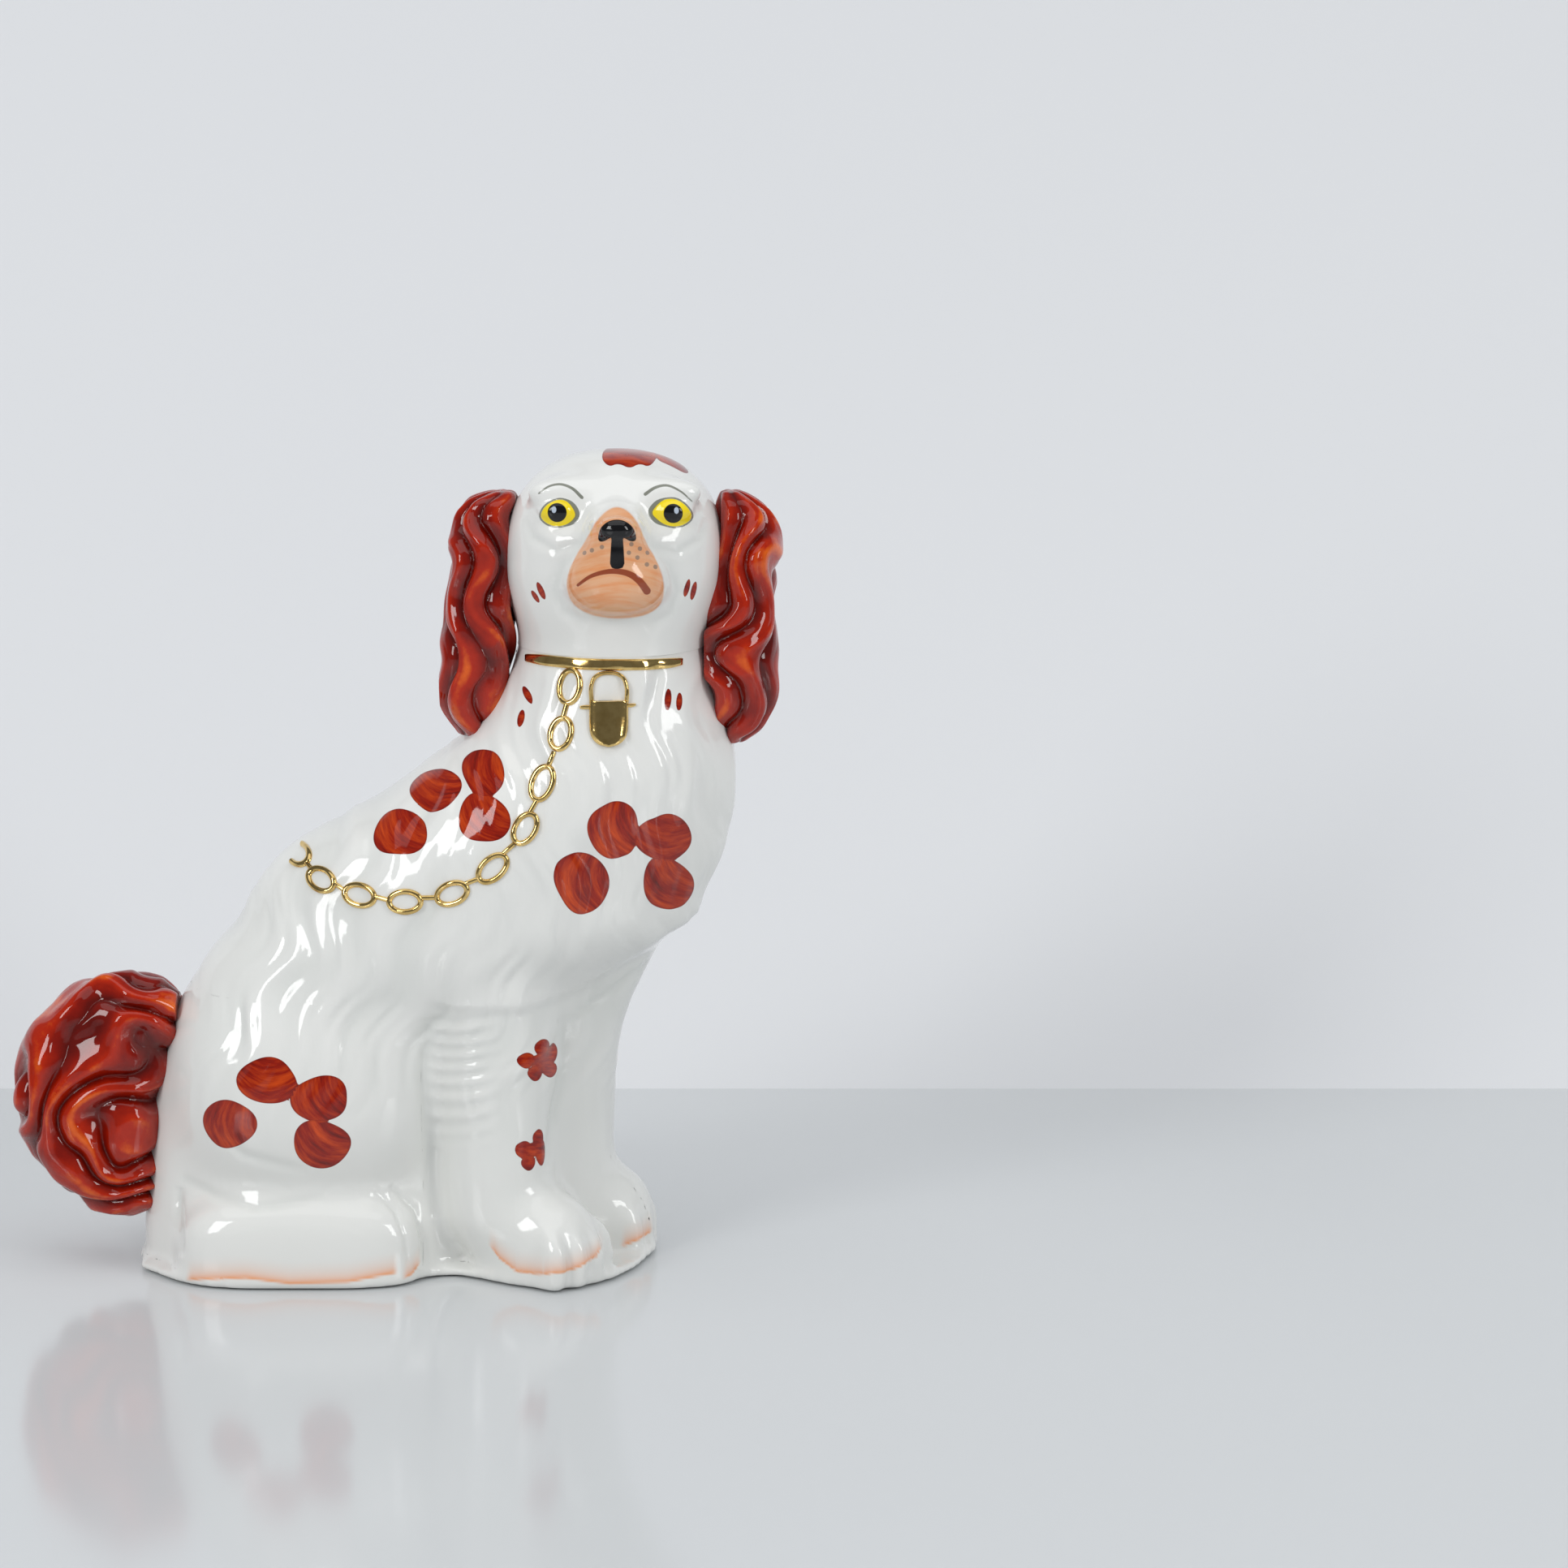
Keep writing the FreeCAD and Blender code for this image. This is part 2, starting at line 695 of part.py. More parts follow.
def bow(radius, spring, foot):
    """The line of a shackle: up one side, round over the top and down the other."""
    near_side = mm.padlock_reach - radius
    far_side = mm.padlock_reach + radius
    top = Vector(mm.padlock_reach, 0, spring + radius)
    return [
        Part.makeLine(Vector(near_side, 0, foot), Vector(near_side, 0, spring)),
        Part.Arc(Vector(near_side, 0, spring), top, Vector(far_side, 0, spring)).toShape(),
        Part.makeLine(Vector(far_side, 0, spring), Vector(far_side, 0, foot)),
        Part.makeLine(Vector(far_side, 0, foot), Vector(near_side, 0, foot)),
    ]


shackle_spring = plate_top + mm.shackle_height - plate_half
shackle_outline = outline_face(bow(plate_half, shackle_spring, plate_top)).cut(
    outline_face(bow(plate_half - mm.shackle_wire, shackle_spring, plate_top))
)
padlock_shackle = raised("padlock_shackle", [shackle_outline], mm.shackle_proud)
pin_rise = plate_top - mm.pin_wire
pin_ends = [Vector(mm.padlock_reach + side * mm.pin_length / 2, 0, pin_rise) for side in (-1, 1)]
pin_outline = strip(pin_ends[0], pin_ends[1], mm.pin_wire).cut(plate_outline)
padlock_pin = raised("padlock_pin", [pin_outline], mm.shackle_proud)

# Chain: eye-shaped links joined by short necks, draped from the collar over the flank
places = []
for length_share, height_share in CHAIN_SHARES:
    height = mm.slab_thickness + height_share * (mm.torso_height - mm.slab_thickness)
    places.append(Vector(length_share * mm.torso_length - mm.rump_reach, 0, height))
rings = []
necks = []
last_tip = places[0]
for number in range(1, len(places)):
    here = places[number]
    following = places[min(number + 1, len(places) - 1)]
    along = (following - places[number - 1]).normalize()
    length = LINK_SHARE * (here - places[number - 1]).Length
    eye = lens(here, along, length - 2 * mm.link_band, mm.link_width - 2 * mm.link_band)
    ring = lens(here, along, length, mm.link_width).cut(eye)
    if number == len(places) - 1:
        beyond = here + along * mm.link_width
        ring = ring.cut(strip(here, beyond, 2 * mm.link_width))
    rings.append(ring)
    necks.append(strip(last_tip, here - along * (length / 2 - mm.link_band / 2), mm.link_band))
    last_tip = here + along * (length / 2 - mm.link_band / 2)
chain = raised("chain", rings + necks, mm.sprig_proud)

# Ears, one hanging bunch of hair each, luted to the sides of the head
ears = []
for name, side in (("right_ear", -1), ("left_ear", 1)):
    top = Vector(mm.head_reach + side * mm.ear_spread, -mm.head_offset, mm.torso_height + mm.ear_rise)
    levels = [(drop, wide, deep, side * out) for drop, wide, deep, out in EAR_LEVEL_SHARES]
    turn = side * EAR_LOCK_TURN
    bunch = locks(levels, top, mm.ear_width, mm.ear_depth, mm.ear_length, EAR_LOCKS, EAR_LOCK_SHARE, turn)
    on_head = cut(name + "_on_head", form(name + "_bunch", bunch), head_outside)
    ears.append(cut(name, on_head, body_outside))


def plume():
    """The curled tail: locks that run round its curl, as rings from the near side out to the rim and back."""
    middle = Vector(-mm.tail_reach, -mm.tail_offset, mm.tail_rise)
    sections = []
    for side, rings in ((-1, TAIL_LOCK_SHARES), (1, TAIL_LOCK_SHARES[::-1])):
        for ring, proud in rings:
            points = []
            for number, reach in enumerate(TAIL_REACH_SHARES):
                angle = 2 * math.pi * number / len(TAIL_REACH_SHARES)
                out = ring * reach * mm.tail_size
                spot = Vector(math.cos(angle) * out, side * proud * mm.tail_depth / 2, math.sin(angle) * out)
                points.append(middle + spot)
            sections.append(points)
    return loft(sections)


# Tail, curled up against the rump
tail = cut("tail", form("TailPlume", plume()), body_outside)

doc.recompute()
sub_parts = [slab, near_body, far_body, near_foreleg, far_foreleg, near_head, far_head]
sub_parts += ears + [tail, collar, padlock_body, padlock_shackle, padlock_pin, chain]
for item in doc.Objects:
    if "Invalid" in item.State or "Error" in item.State:
        raise RuntimeError("%s did not build" % item.Name)
for item in sub_parts:
    if item.Shape.isNull() or not item.Shape.isValid() or not item.Shape.Solids:
        raise RuntimeError("%s has no valid solid" % item.Name)
os.makedirs("parts", exist_ok=True)
for item in sub_parts:
    item.Label = item.Name
    item.Shape.exportStep("parts/%s.step" % item.Label)
    print(item.Label, len(item.Shape.Solids), "solids", round(item.Shape.Volume), "mm3")
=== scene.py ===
import math

import bmesh
import bpy
import numpy as np
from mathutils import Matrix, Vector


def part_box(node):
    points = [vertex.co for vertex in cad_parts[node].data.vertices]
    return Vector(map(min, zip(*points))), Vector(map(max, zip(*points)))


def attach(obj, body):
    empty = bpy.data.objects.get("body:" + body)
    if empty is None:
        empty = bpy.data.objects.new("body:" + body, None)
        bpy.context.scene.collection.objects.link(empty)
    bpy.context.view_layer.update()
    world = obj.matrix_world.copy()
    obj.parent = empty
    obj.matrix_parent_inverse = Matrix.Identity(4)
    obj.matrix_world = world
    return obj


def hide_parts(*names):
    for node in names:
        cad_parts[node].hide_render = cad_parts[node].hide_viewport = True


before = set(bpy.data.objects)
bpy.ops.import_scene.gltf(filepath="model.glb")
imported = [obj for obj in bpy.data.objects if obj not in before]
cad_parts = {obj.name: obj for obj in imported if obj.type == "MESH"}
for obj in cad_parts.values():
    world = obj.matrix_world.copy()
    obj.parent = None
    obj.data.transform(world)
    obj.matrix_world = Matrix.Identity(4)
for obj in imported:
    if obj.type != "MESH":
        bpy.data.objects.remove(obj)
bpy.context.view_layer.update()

import openvdb
from mathutils import Vector
from mathutils.bvhtree import BVHTree

# The camera stands where the photograph was taken: a long lens, level with the lamp stands, looking a
# little down. Pixels of the photograph are given in its own frame.
MM = 0.001
PHOTO_SIDE = 1932.0
PHOTO_MIDDLE = PHOTO_SIDE / 2
FOCAL_PIXELS = 7000.0
SENSOR_WIDTH = 36.0
CAMERA_PITCH = math.radians(10.7)
CAMERA_PLACE = np.array([119.3, -1723.3, 475.5])
PITCH_COS = math.cos(CAMERA_PITCH)
PITCH_SIN = math.sin(CAMERA_PITCH)

camera_data = bpy.data.cameras.new("view")
camera_data.sensor_width = SENSOR_WIDTH
camera_data.lens = FOCAL_PIXELS / PHOTO_SIDE * SENSOR_WIDTH
camera = bpy.data.objects.new("view", camera_data)
camera.location = CAMERA_PLACE * MM
camera.rotation_euler = (math.pi / 2 - CAMERA_PITCH, 0, 0)
bpy.context.scene.collection.objects.link(camera)
bpy.context.scene.camera = camera
bpy.context.scene.view_settings.view_transform = "Standard"


def to_photo(points):
    """Where points in millimetres fall in the photograph, in its pixels."""
    away = points - CAMERA_PLACE
    forward = away[:, 1] * PITCH_COS - away[:, 2] * PITCH_SIN
    down = -away[:, 1] * PITCH_SIN - away[:, 2] * PITCH_COS
    across = PHOTO_MIDDLE + FOCAL_PIXELS * away[:, 0] / forward
    return across, PHOTO_MIDDLE + FOCAL_PIXELS * down / forward


def photo_ray(across, down):
    """The direction from the camera through a pixel of the photograph."""
    right = (across - PHOTO_MIDDLE) / FOCAL_PIXELS
    drop = (down - PHOTO_MIDDLE) / FOCAL_PIXELS
    return Vector((right, PITCH_COS - drop * PITCH_SIN, -PITCH_SIN - drop * PITCH_COS)).normalized()


# The stage is a pale table top that ends behind the figure and a paler wall beyond it, lit by two tall
# soft boxes, one on each side of the camera, and a wide one overhead.
TABLE_BACK = 0.218
TABLE_COLOUR = (0.66, 0.68, 0.69, 1)
WALL_COLOUR = (0.75, 0.76, 0.775, 1)
STAGE_REACH = 3.0
FLOOR_DROP = 0.0002


def new_material(name):
    """An empty node material with its output, ready for nodes."""
    made = bpy.data.materials.new(name)
    made.use_nodes = True
    made.node_tree.nodes.clear()
    return made, made.node_tree


def stage_material(name, colour, roughness):
    """A plain material that is clear from its back, so the figure can be seen from behind the wall."""
    made, tree = new_material(name)
    surface = tree.nodes.new("ShaderNodeBsdfPrincipled")
    grain = tree.nodes.new("ShaderNodeTexNoise")
    grain.inputs["Scale"].default_value = 6.0
    shade = tree.nodes.new("ShaderNodeMixRGB")
    shade.inputs["Color1"].default_value = colour
    shade.inputs["Color2"].default_value = [0.97 * part for part in colour[:3]] + [1]
    output = tree.nodes.new("ShaderNodeOutputMaterial")
    surface.inputs["Roughness"].default_value = roughness
    tree.links.new(grain.outputs["Fac"], shade.inputs["Fac"])
    tree.links.new(shade.outputs["Color"], surface.inputs["Base Color"])
    clear = tree.nodes.new("ShaderNodeBsdfTransparent")
    sides = tree.nodes.new("ShaderNodeMixShader")
    geometry = tree.nodes.new("ShaderNodeNewGeometry")
    tree.links.new(geometry.outputs["Backfacing"], sides.inputs["Fac"])
    tree.links.new(surface.outputs["BSDF"], sides.inputs[1])
    tree.links.new(clear.outputs["BSDF"], sides.inputs[2])
    tree.links.new(sides.outputs["Shader"], output.inputs["Surface"])
    return made


def stage_sheet(name, corners, material):
    data = bpy.data.meshes.new(name)
    data.from_pydata(corners, [], [(0, 1, 2, 3)])
    data.materials.append(material)
    sheet = bpy.data.objects.new(name, data)
    bpy.context.scene.collection.objects.link(sheet)
    return sheet


stage_sheet(
    "floor",
    [
        (-STAGE_REACH, -STAGE_REACH, -FLOOR_DROP),
        (STAGE_REACH, -STAGE_REACH, -FLOOR_DROP),
        (STAGE_REACH, TABLE_BACK, -FLOOR_DROP),
        (-STAGE_REACH, TABLE_BACK, -FLOOR_DROP),
    ],
    stage_material("table_top", TABLE_COLOUR, 0.12),
)
stage_sheet(
    "backdrop",
    [
        (-STAGE_REACH, TABLE_BACK, -FLOOR_DROP),
        (STAGE_REACH, TABLE_BACK, -FLOOR_DROP),
        (STAGE_REACH, TABLE_BACK + STAGE_REACH, STAGE_REACH),
        (-STAGE_REACH, TABLE_BACK + STAGE_REACH, STAGE_REACH),
    ],
    stage_material("wall", WALL_COLOUR, 0.9),
)

# Each soft box: name, middle, what it looks at, width, height and power
SOFT_BOXES = [
    ("left_box", (-1.3, -1.5, 1.1), (0, 0, 0.12), 0.6, 1.1, 15),
    ("right_box", (1.5, -1.2, 0.9), (0, 0, 0.12), 0.5, 1.0, 10),
    ("top_box", (0.0, -0.3, 1.9), (0, 0, 0.1), 2.2, 1.6, 9),
]
for name, place, target, width, height, power in SOFT_BOXES:
    lamp = bpy.data.lights.new(name, "AREA")
    lamp.shape = "RECTANGLE"
    lamp.size = width
    lamp.size_y = height
    lamp.energy = power
    box = bpy.data.objects.new(name, lamp)
    box.location = place
    box.rotation_euler = (Vector(target) - Vector(place)).to_track_quat("-Z", "Y").to_euler()
    bpy.context.scene.collection.objects.link(box)

ROOM_LIGHT = 0.52
ROOM_SEEN = 0.78
ROOM_IN_GLAZE = 0.15
world = bpy.data.worlds.new("room")
bpy.context.scene.world = world
world.use_nodes = True
room = world.node_tree.nodes["Background"]
room.inputs["Color"].default_value = (0.93, 0.96, 1.0, 1)
rays = world.node_tree.nodes.new("ShaderNodeLightPath")
seen = world.node_tree.nodes.new("ShaderNodeMapRange")
seen.inputs["To Min"].default_value = ROOM_LIGHT
seen.inputs["To Max"].default_value = ROOM_SEEN
world.node_tree.links.new(rays.outputs["Is Camera Ray"], seen.inputs["Value"])
dimmed = world.node_tree.nodes.new("ShaderNodeMapRange")
dimmed.inputs["To Max"].default_value = ROOM_IN_GLAZE
world.node_tree.links.new(seen.outputs["Result"], dimmed.inputs["To Min"])
world.node_tree.links.new(rays.outputs["Is Glossy Ray"], dimmed.inputs["Value"])
world.node_tree.links.new(dimmed.outputs["Result"], room.inputs["Strength"])

# The body is a hollow casting of white earthenware, pressed in a near and a far half, with the thighs and
# hind feet moulded in. The forelegs are luted on with slip, a thin slab closes the underside, and one
# glaze runs over all of them, so their seams are cut from one skin.
FAR = 12.0
BODY_PITCH = 1.5
SLAB_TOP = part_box("base_slab")[1].z / MM
NECK_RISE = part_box("head_back_half")[0].z / MM

# Torso sections in millimetres: height, back, front and half depth
TORSO_ROWS = np.array(
    [
        (0, -80.5, 34, 33),
        (12, -80.5, 34, 32),
        (24, -80, 36, 30),
        (42, -78.5, 36, 29),
        (60, -75.5, 38, 30),
        (80, -69, 46, 34),
        (95, -60.8, 70, 38),
        (108, -51.3, 91, 40.4),
        (121, -42.8, 97, 41.2),
        (133.5, -29.8, 102.5, 41.2),
        (146, -8.5, 104.5, 40.4),
        (159, 11.9, 104.5, 38),
        (172, 26, 101.5, 34.5),
        (184, 34, 97.5, 32),
        (196, 38, 95.5, 30.5),
        (215, 39, 95.0, 30),
    ]
)
# Outline of the foot of the figure, as seen from above, in millimetres
FOOT_OUTLINE = [
    (-82, 0), (-80, -20), (-68, -34), (-45, -41), (-12, -38), (5, -30), (18, -27), (34, -37),
    (46, -41.3), (57, -39.5), (67, -31.5), (74, -18), (79, 0), (79, 20), (66, 34), (40, 36),
    (10, 34), (-20, 38), (-50, 41), (-70, 34), (-81, 18),
]


def smooth_steps(rows, places):
    """Columns of a table at other places in its first column, on a smooth curve through its rows."""
    known = rows[:, 0]
    slopes = np.gradient(rows, known, axis=0)
    spot = np.clip(np.searchsorted(known, places) - 1, 0, len(known) - 2)
    span = known[spot + 1] - known[spot]
    t = np.clip((places - known[spot]) / span, 0, 1)[:, None]
    span = span[:, None]
    return (
        (2 * t**3 - 3 * t**2 + 1) * rows[spot]
        + (t**3 - 2 * t**2 + t) * span * slopes[spot]
        + (3 * t**2 - 2 * t**3) * rows[spot + 1]
        + (t**3 - t**2) * span * slopes[spot + 1]
    )


class Clay:
    """A block of distances to the surface in millimetres, negative inside, that forms are pressed into."""

    def __init__(self, low, high, pitch):
        self.low = np.array(low, float)
        self.pitch = pitch
        counts = np.ceil((np.array(high, float) - self.low) / pitch).astype(int) + 1
        steps = [self.low[axis] + pitch * np.arange(counts[axis]) for axis in range(3)]
        self.x = steps[0].astype(np.float32)[:, None, None]
        self.y = steps[1].astype(np.float32)[None, :, None]
        self.z = steps[2].astype(np.float32)[None, None, :]
        self.field = np.full(counts, FAR, np.float32)

    def add(self, distance, blend):
        """Joins a form to the clay, with a fillet about as wide as blend."""
        near = np.maximum(blend - np.abs(self.field - distance), 0) / blend
        self.field = np.minimum(self.field, distance) - near * near * blend / 4

    def carve(self, distance, blend):
        """Takes a form out of the clay."""
        near = np.maximum(blend - np.abs(self.field + distance), 0) / blend
        self.field = np.maximum(self.field, -distance) + near * near * blend / 4

    def egg(self, middle, radii, turn=0.0, power=2.0):
        """Distance to an egg, turned about the upright axis by turn degrees."""
        c = math.cos(math.radians(turn))
        s = math.sin(math.radians(turn))
        x = self.x - middle[0]
        y = self.y - middle[1]
        u = np.abs((c * x + s * y) / radii[0])
        v = np.abs((c * y - s * x) / radii[1])
        w = np.abs((self.z - middle[2]) / radii[2])
        reach = (u**power + v**power + w**power) ** (1 / power)
        slope = np.sqrt((u / radii[0]) ** 2 + (v / radii[1]) ** 2 + (w / radii[2]) ** 2)
        return (reach - 1) * np.maximum(reach, 0.4) / np.maximum(slope, 0.4 / max(radii))

    def loft(self, rows):
        """Distance to a form of level ovals given by height, back, front and half depth."""
        back, front, depth = smooth_steps(rows, self.z[0, 0])[:, 1:].T.astype(np.float32)
        half = (front - back) / 2
        u = (self.x - (front + back) / 2) / half
        v = self.y / depth
        square = 2 + np.where(u < 0, 0.8, 0.0) * np.clip((115 - self.z) / 35, 0, 1)
        reach = (np.abs(u) ** square + np.abs(v) ** square) ** (1 / square)
        slope = np.sqrt((u / half) ** 2 + (v / depth) ** 2)
        return (reach - 1) * np.maximum(reach, 0.4) / np.maximum(slope, 0.4 / 60)

    def capsule(self, start, end, start_radius, end_radius):
        """Distance to a round bar whose radius changes from one end to the other."""
        start = np.array(start, np.float32)
        along = np.array(end, np.float32) - start
        dx = self.x - start[0]
        dy = self.y - start[1]
        dz = self.z - start[2]
        share = np.clip((dx * along[0] + dy * along[1] + dz * along[2]) / (along @ along), 0, 1)
        gap = (dx - share * along[0]) ** 2 + (dy - share * along[1]) ** 2 + (dz - share * along[2]) ** 2
        return np.sqrt(gap) - (start_radius + share * (end_radius - start_radius))

    def between(self, low, high):
        """Distance to the layer between two heights."""
        return np.maximum(low - self.z, self.z - high)

    def skin(self, rounds):
        """The surface as points and four-sided faces, eased over its neighbours a few rounds."""
        grid = openvdb.FloatGrid(FAR)
        grid.copyFromArray(self.field)
        points, quads = grid.convertToQuads(isovalue=0.0)
        points = points * self.pitch + self.low
        quads = quads.astype(int)
        pairs = np.concatenate([quads[:, [a, (a + 1) % 4]] for a in range(4)])
        counts = np.bincount(pairs[:, 0], minlength=len(points))[:, None]
        for turn in range(rounds):
            sums = [np.bincount(pairs[:, 0], points[pairs[:, 1], axis], len(points)) for axis in range(3)]
            points = points + 0.5 * (np.stack(sums, 1) / counts - points)
        return points, quads


def mesh_of(name, points, faces, levels):
    """A mesh in metres of points in millimetres, rounded by a few levels of subdivision."""
    data = bpy.data.meshes.new(name)
    data.from_pydata([tuple(point) for point in points * MM], [], faces.tolist())
    holder = bpy.data.objects.new(name, data)
    bpy.context.scene.collection.objects.link(holder)
    rounder = holder.modifiers.new("rounder", "SUBSURF")
    rounder.levels = levels
    rounder.render_levels = levels
    finished = bpy.data.meshes.new_from_object(holder.evaluated_get(bpy.context.evaluated_depsgraph_get()))
    bpy.data.objects.remove(holder)
    finished.name = name
    return finished


def read_points(data):
    flat = np.empty(len(data.vertices) * 3, np.float32)
    data.vertices.foreach_get("co", flat)
    return flat.reshape(-1, 3).astype(float) / MM


def read_normals(data):
    flat = np.empty(len(data.vertices) * 3, np.float32)
    data.vertex_normals.foreach_get("vector", flat)
    return flat.reshape(-1, 3).astype(float)


def write_points(data, points):
    data.vertices.foreach_set("co", (points * MM).astype(np.float32).ravel())
    data.update()


def keep(data, name, values):
    """Stores a value for each point of a mesh, as the attribute that a material reads."""
    kind = "FLOAT_VECTOR" if values.ndim == 2 else "FLOAT"
    layer = data.attributes.new(name, kind, "POINT")
    layer.data.foreach_set("vector" if values.ndim == 2 else "value", values.astype(np.float32).ravel())


FAR_OFF = 1e9


def polygon_gap(across, down, corners):
    """Signed distance to a closed outline in the units of its corners, positive inside."""
    corners = np.array(corners, float)
    gap = np.full(np.shape(across), FAR_OFF)
    inside = np.zeros(np.shape(across), bool)
    for start, end in zip(corners, np.roll(corners, -1, axis=0)):
        run = end - start
        share = np.clip(((across - start[0]) * run[0] + (down - start[1]) * run[1]) / (run @ run), 0, 1)
        here = np.hypot(across - start[0] - share * run[0], down - start[1] - share * run[1])
        gap = np.minimum(gap, here)
        crosses = (start[1] > down) != (end[1] > down)
        rise = run[1] if run[1] else 1e-9
        inside ^= crosses & (across < run[0] * (down - start[1]) / rise + start[0])
    return np.where(inside, gap, -gap)


# Haunch and hind foot on each side: middle, half sizes, roundness and fillet in millimetres
HIND_FORMS = [
    ((-27, 20, 57), (37, 22.5, 33), 2.2, 11.0),
    ((-30, 26, 8), (38, 17.5, 20), 3.0, 6.0),
]
# Near and far foreleg: top, ankle, radius at each; middle of the paw, its half sizes and its turn in
# degrees; reach, length and height of its toes
FORELEGS = [
    ((29, -17, 104), (31, -19, 22), 20.0, 17.5, (43, -25, 9), (21, 15.5, 19), -38, 14.0, 9.8, 12),
    ((50, 14, 104), (50, 14, 22), 19.0, 15.0, (60, 8, 9), (18.5, 15.5, 19), -8, 11.5, 8.5, 11),
]
LEG_FILLET = 4.0
PAW_FILLET = 6.0
PAW_ROUNDNESS = 2.3
# The clay that joins the two forelegs and flares to the chest: ends, radius at each and fillet
LEG_WEBS = [
    ((46, 0, 100), (49, 2, 16), 17.0, 15.5, 9.0),
    ((60, 5, 106), (51, 7, 68), 22.5, 14.0, 7.0),
]
TOE_SHARES = (-0.75, -0.25, 0.25, 0.75)
TOE_HALF_WIDTH = 4.6
TOE_RISE = 8
TOE_SPREAD = 13
TOE_FAN = 16
TOE_BOW = 4.25
TOE_FILLET = 1.2
FOOT_LOW = -4.0
FOOT_RIM = 2.7
FOOT_FILLET = 3.0
# Heights and places in millimetres where the one skin is cut into its pieces
FORELEG_TOP = 88.5
NEAR_LEG_BACK = 8.0
FAR_LEG_BACK = 37.0

body_clay = Clay((-92, -54, -8), (116, 54, NECK_RISE + 12), BODY_PITCH)
body_clay.add(body_clay.loft(TORSO_ROWS), 1.0)
for side in (-1, 1):
    for (x, y, z), sizes, roundness, fillet in HIND_FORMS:
        body_clay.add(body_clay.egg((x, side * y, z), sizes, power=roundness), fillet)
for top, ankle, top_radius, ankle_radius, paw, paw_sizes, turn, reach, length, height in FORELEGS:
    body_clay.add(body_clay.capsule(top, ankle, top_radius, ankle_radius), LEG_FILLET)
    body_clay.add(body_clay.egg(paw, paw_sizes, turn=turn, power=PAW_ROUNDNESS), PAW_FILLET)
for start, end, start_radius, end_radius, fillet in LEG_WEBS:
    body_clay.add(body_clay.capsule(start, end, start_radius, end_radius), fillet)
for top, ankle, top_radius, ankle_radius, paw, paw_sizes, turn, reach, length, height in FORELEGS:
    c = math.cos(math.radians(turn))
    s = math.sin(math.radians(turn))
    for share in TOE_SHARES:
        ahead = reach - TOE_BOW * share * share
        aside = TOE_SPREAD * share
        toe = (paw[0] + c * ahead - s * aside, paw[1] + s * ahead + c * aside, TOE_RISE)
        toe_form = body_clay.egg(toe, (length, TOE_HALF_WIDTH, height), turn=turn + TOE_FAN * share)
        body_clay.add(toe_form, TOE_FILLET)

foot_x = body_clay.x[:, :, 0] + 0 * body_clay.y[:, :, 0]
foot_y = body_clay.y[:, :, 0] + 0 * body_clay.x[:, :, 0]
foot_gap = -polygon_gap(foot_x, foot_y, FOOT_OUTLINE).astype(np.float32)[:, :, None]
body_clay.add(np.maximum(foot_gap, body_clay.between(FOOT_LOW, FOOT_RIM)), FOOT_FILLET)
body_clay.field = np.maximum(body_clay.field, -body_clay.z)
body_points, body_faces = body_clay.skin(3)

# The press mould gives the coat its relief: wavy locks on chest and flank, a skirt of fur over the
# forelegs, ripples down the back of the near foreleg and grooves between the toes.
PIXEL = 0.2517
NOISE_CELLS = 32
# Locks of the coat: angle from upright, width and length in millimetres, and seed
CHEST_LOCKS = (0.12, 4.4, 20, 11)
FLANK_LOCKS = (-0.35, 5.2, 20, 12)
CHEST_LOCK_HEIGHT = 1.05
FLANK_LOCK_HEIGHT = 0.85
RIPPLE_HEIGHT = 0.27
RIPPLE_TOP = 1246
RIPPLE_PITCH = 18.5
CHEST_SKIRT = [(515, 1236), (560, 1250), (640, 1250), (695, 1232), (741, 1207), (828, 1156), (900, 1105)]
# Grooves pressed along lines of the photograph: points, width and depth in millimetres
GROOVES = [
    ([(690, 1262), (745, 1232), (800, 1190), (850, 1160)], 2.0, 0.7),
    ([(700, 1262), (694, 1330), (680, 1400), (676, 1440)], 1.8, 0.9),
    ([(528, 1255), (524, 1330), (530, 1420), (536, 1500)], 3.0, 0.9),
    ([(480, 1462), (512, 1490), (524, 1530), (526, 1562)], 1.3, 0.8),
    ([(462, 1466), (488, 1492), (500, 1528), (504, 1560)], 1.2, 0.6),
    ([(221, 1462), (219, 1500), (222, 1548)], 2.0, 1.1),
    ([(222, 1452), (262, 1470), (318, 1486), (400, 1474)], 2.2, 0.8),
    ([(262, 1396), (300, 1424), (345, 1436), (380, 1444)], 2.4, 0.5),
]


class Cloudy:
    """Smooth random values in space that are the same at each run."""

    def __init__(self, seed):
        self.cells = np.random.default_rng(seed).random((NOISE_CELLS,) * 3) * 2 - 1

    def at(self, points):
        low = np.floor(points).astype(int)
        part = points - low
        part = part * part * (3 - 2 * part)
        total = np.zeros(len(points))
        for corner in range(8):
            step = np.array([corner & 1, corner >> 1 & 1, corner >> 2 & 1])
            weight = np.prod(np.where(step, part, 1 - part), axis=1)
            spot = (low + step) % NOISE_CELLS
            total += weight * self.cells[spot[:, 0], spot[:, 1], spot[:, 2]]
        return total


def soft_step(values, low, high):
    share = np.clip((values - low) / (high - low), 0, 1)
    return share * share * (3 - 2 * share)


def line_gap(across, down, line):
    """How far pixels of the photograph lie from a line of points, and their share of the way along it."""
    line = np.array(line, float)
    gap = np.full(len(across), FAR_OFF)
    way = np.zeros(len(across))
    for number, (start, end) in enumerate(zip(line[:-1], line[1:])):
        run = end - start
        share = np.clip(((across - start[0]) * run[0] + (down - start[1]) * run[1]) / (run @ run), 0, 1)
        here = np.hypot(across - start[0] - share * run[0], down - start[1] - share * run[1])
        way = np.where(here < gap, (number + share) / (len(line) - 1), way)
        gap = np.minimum(gap, here)
    return gap, way


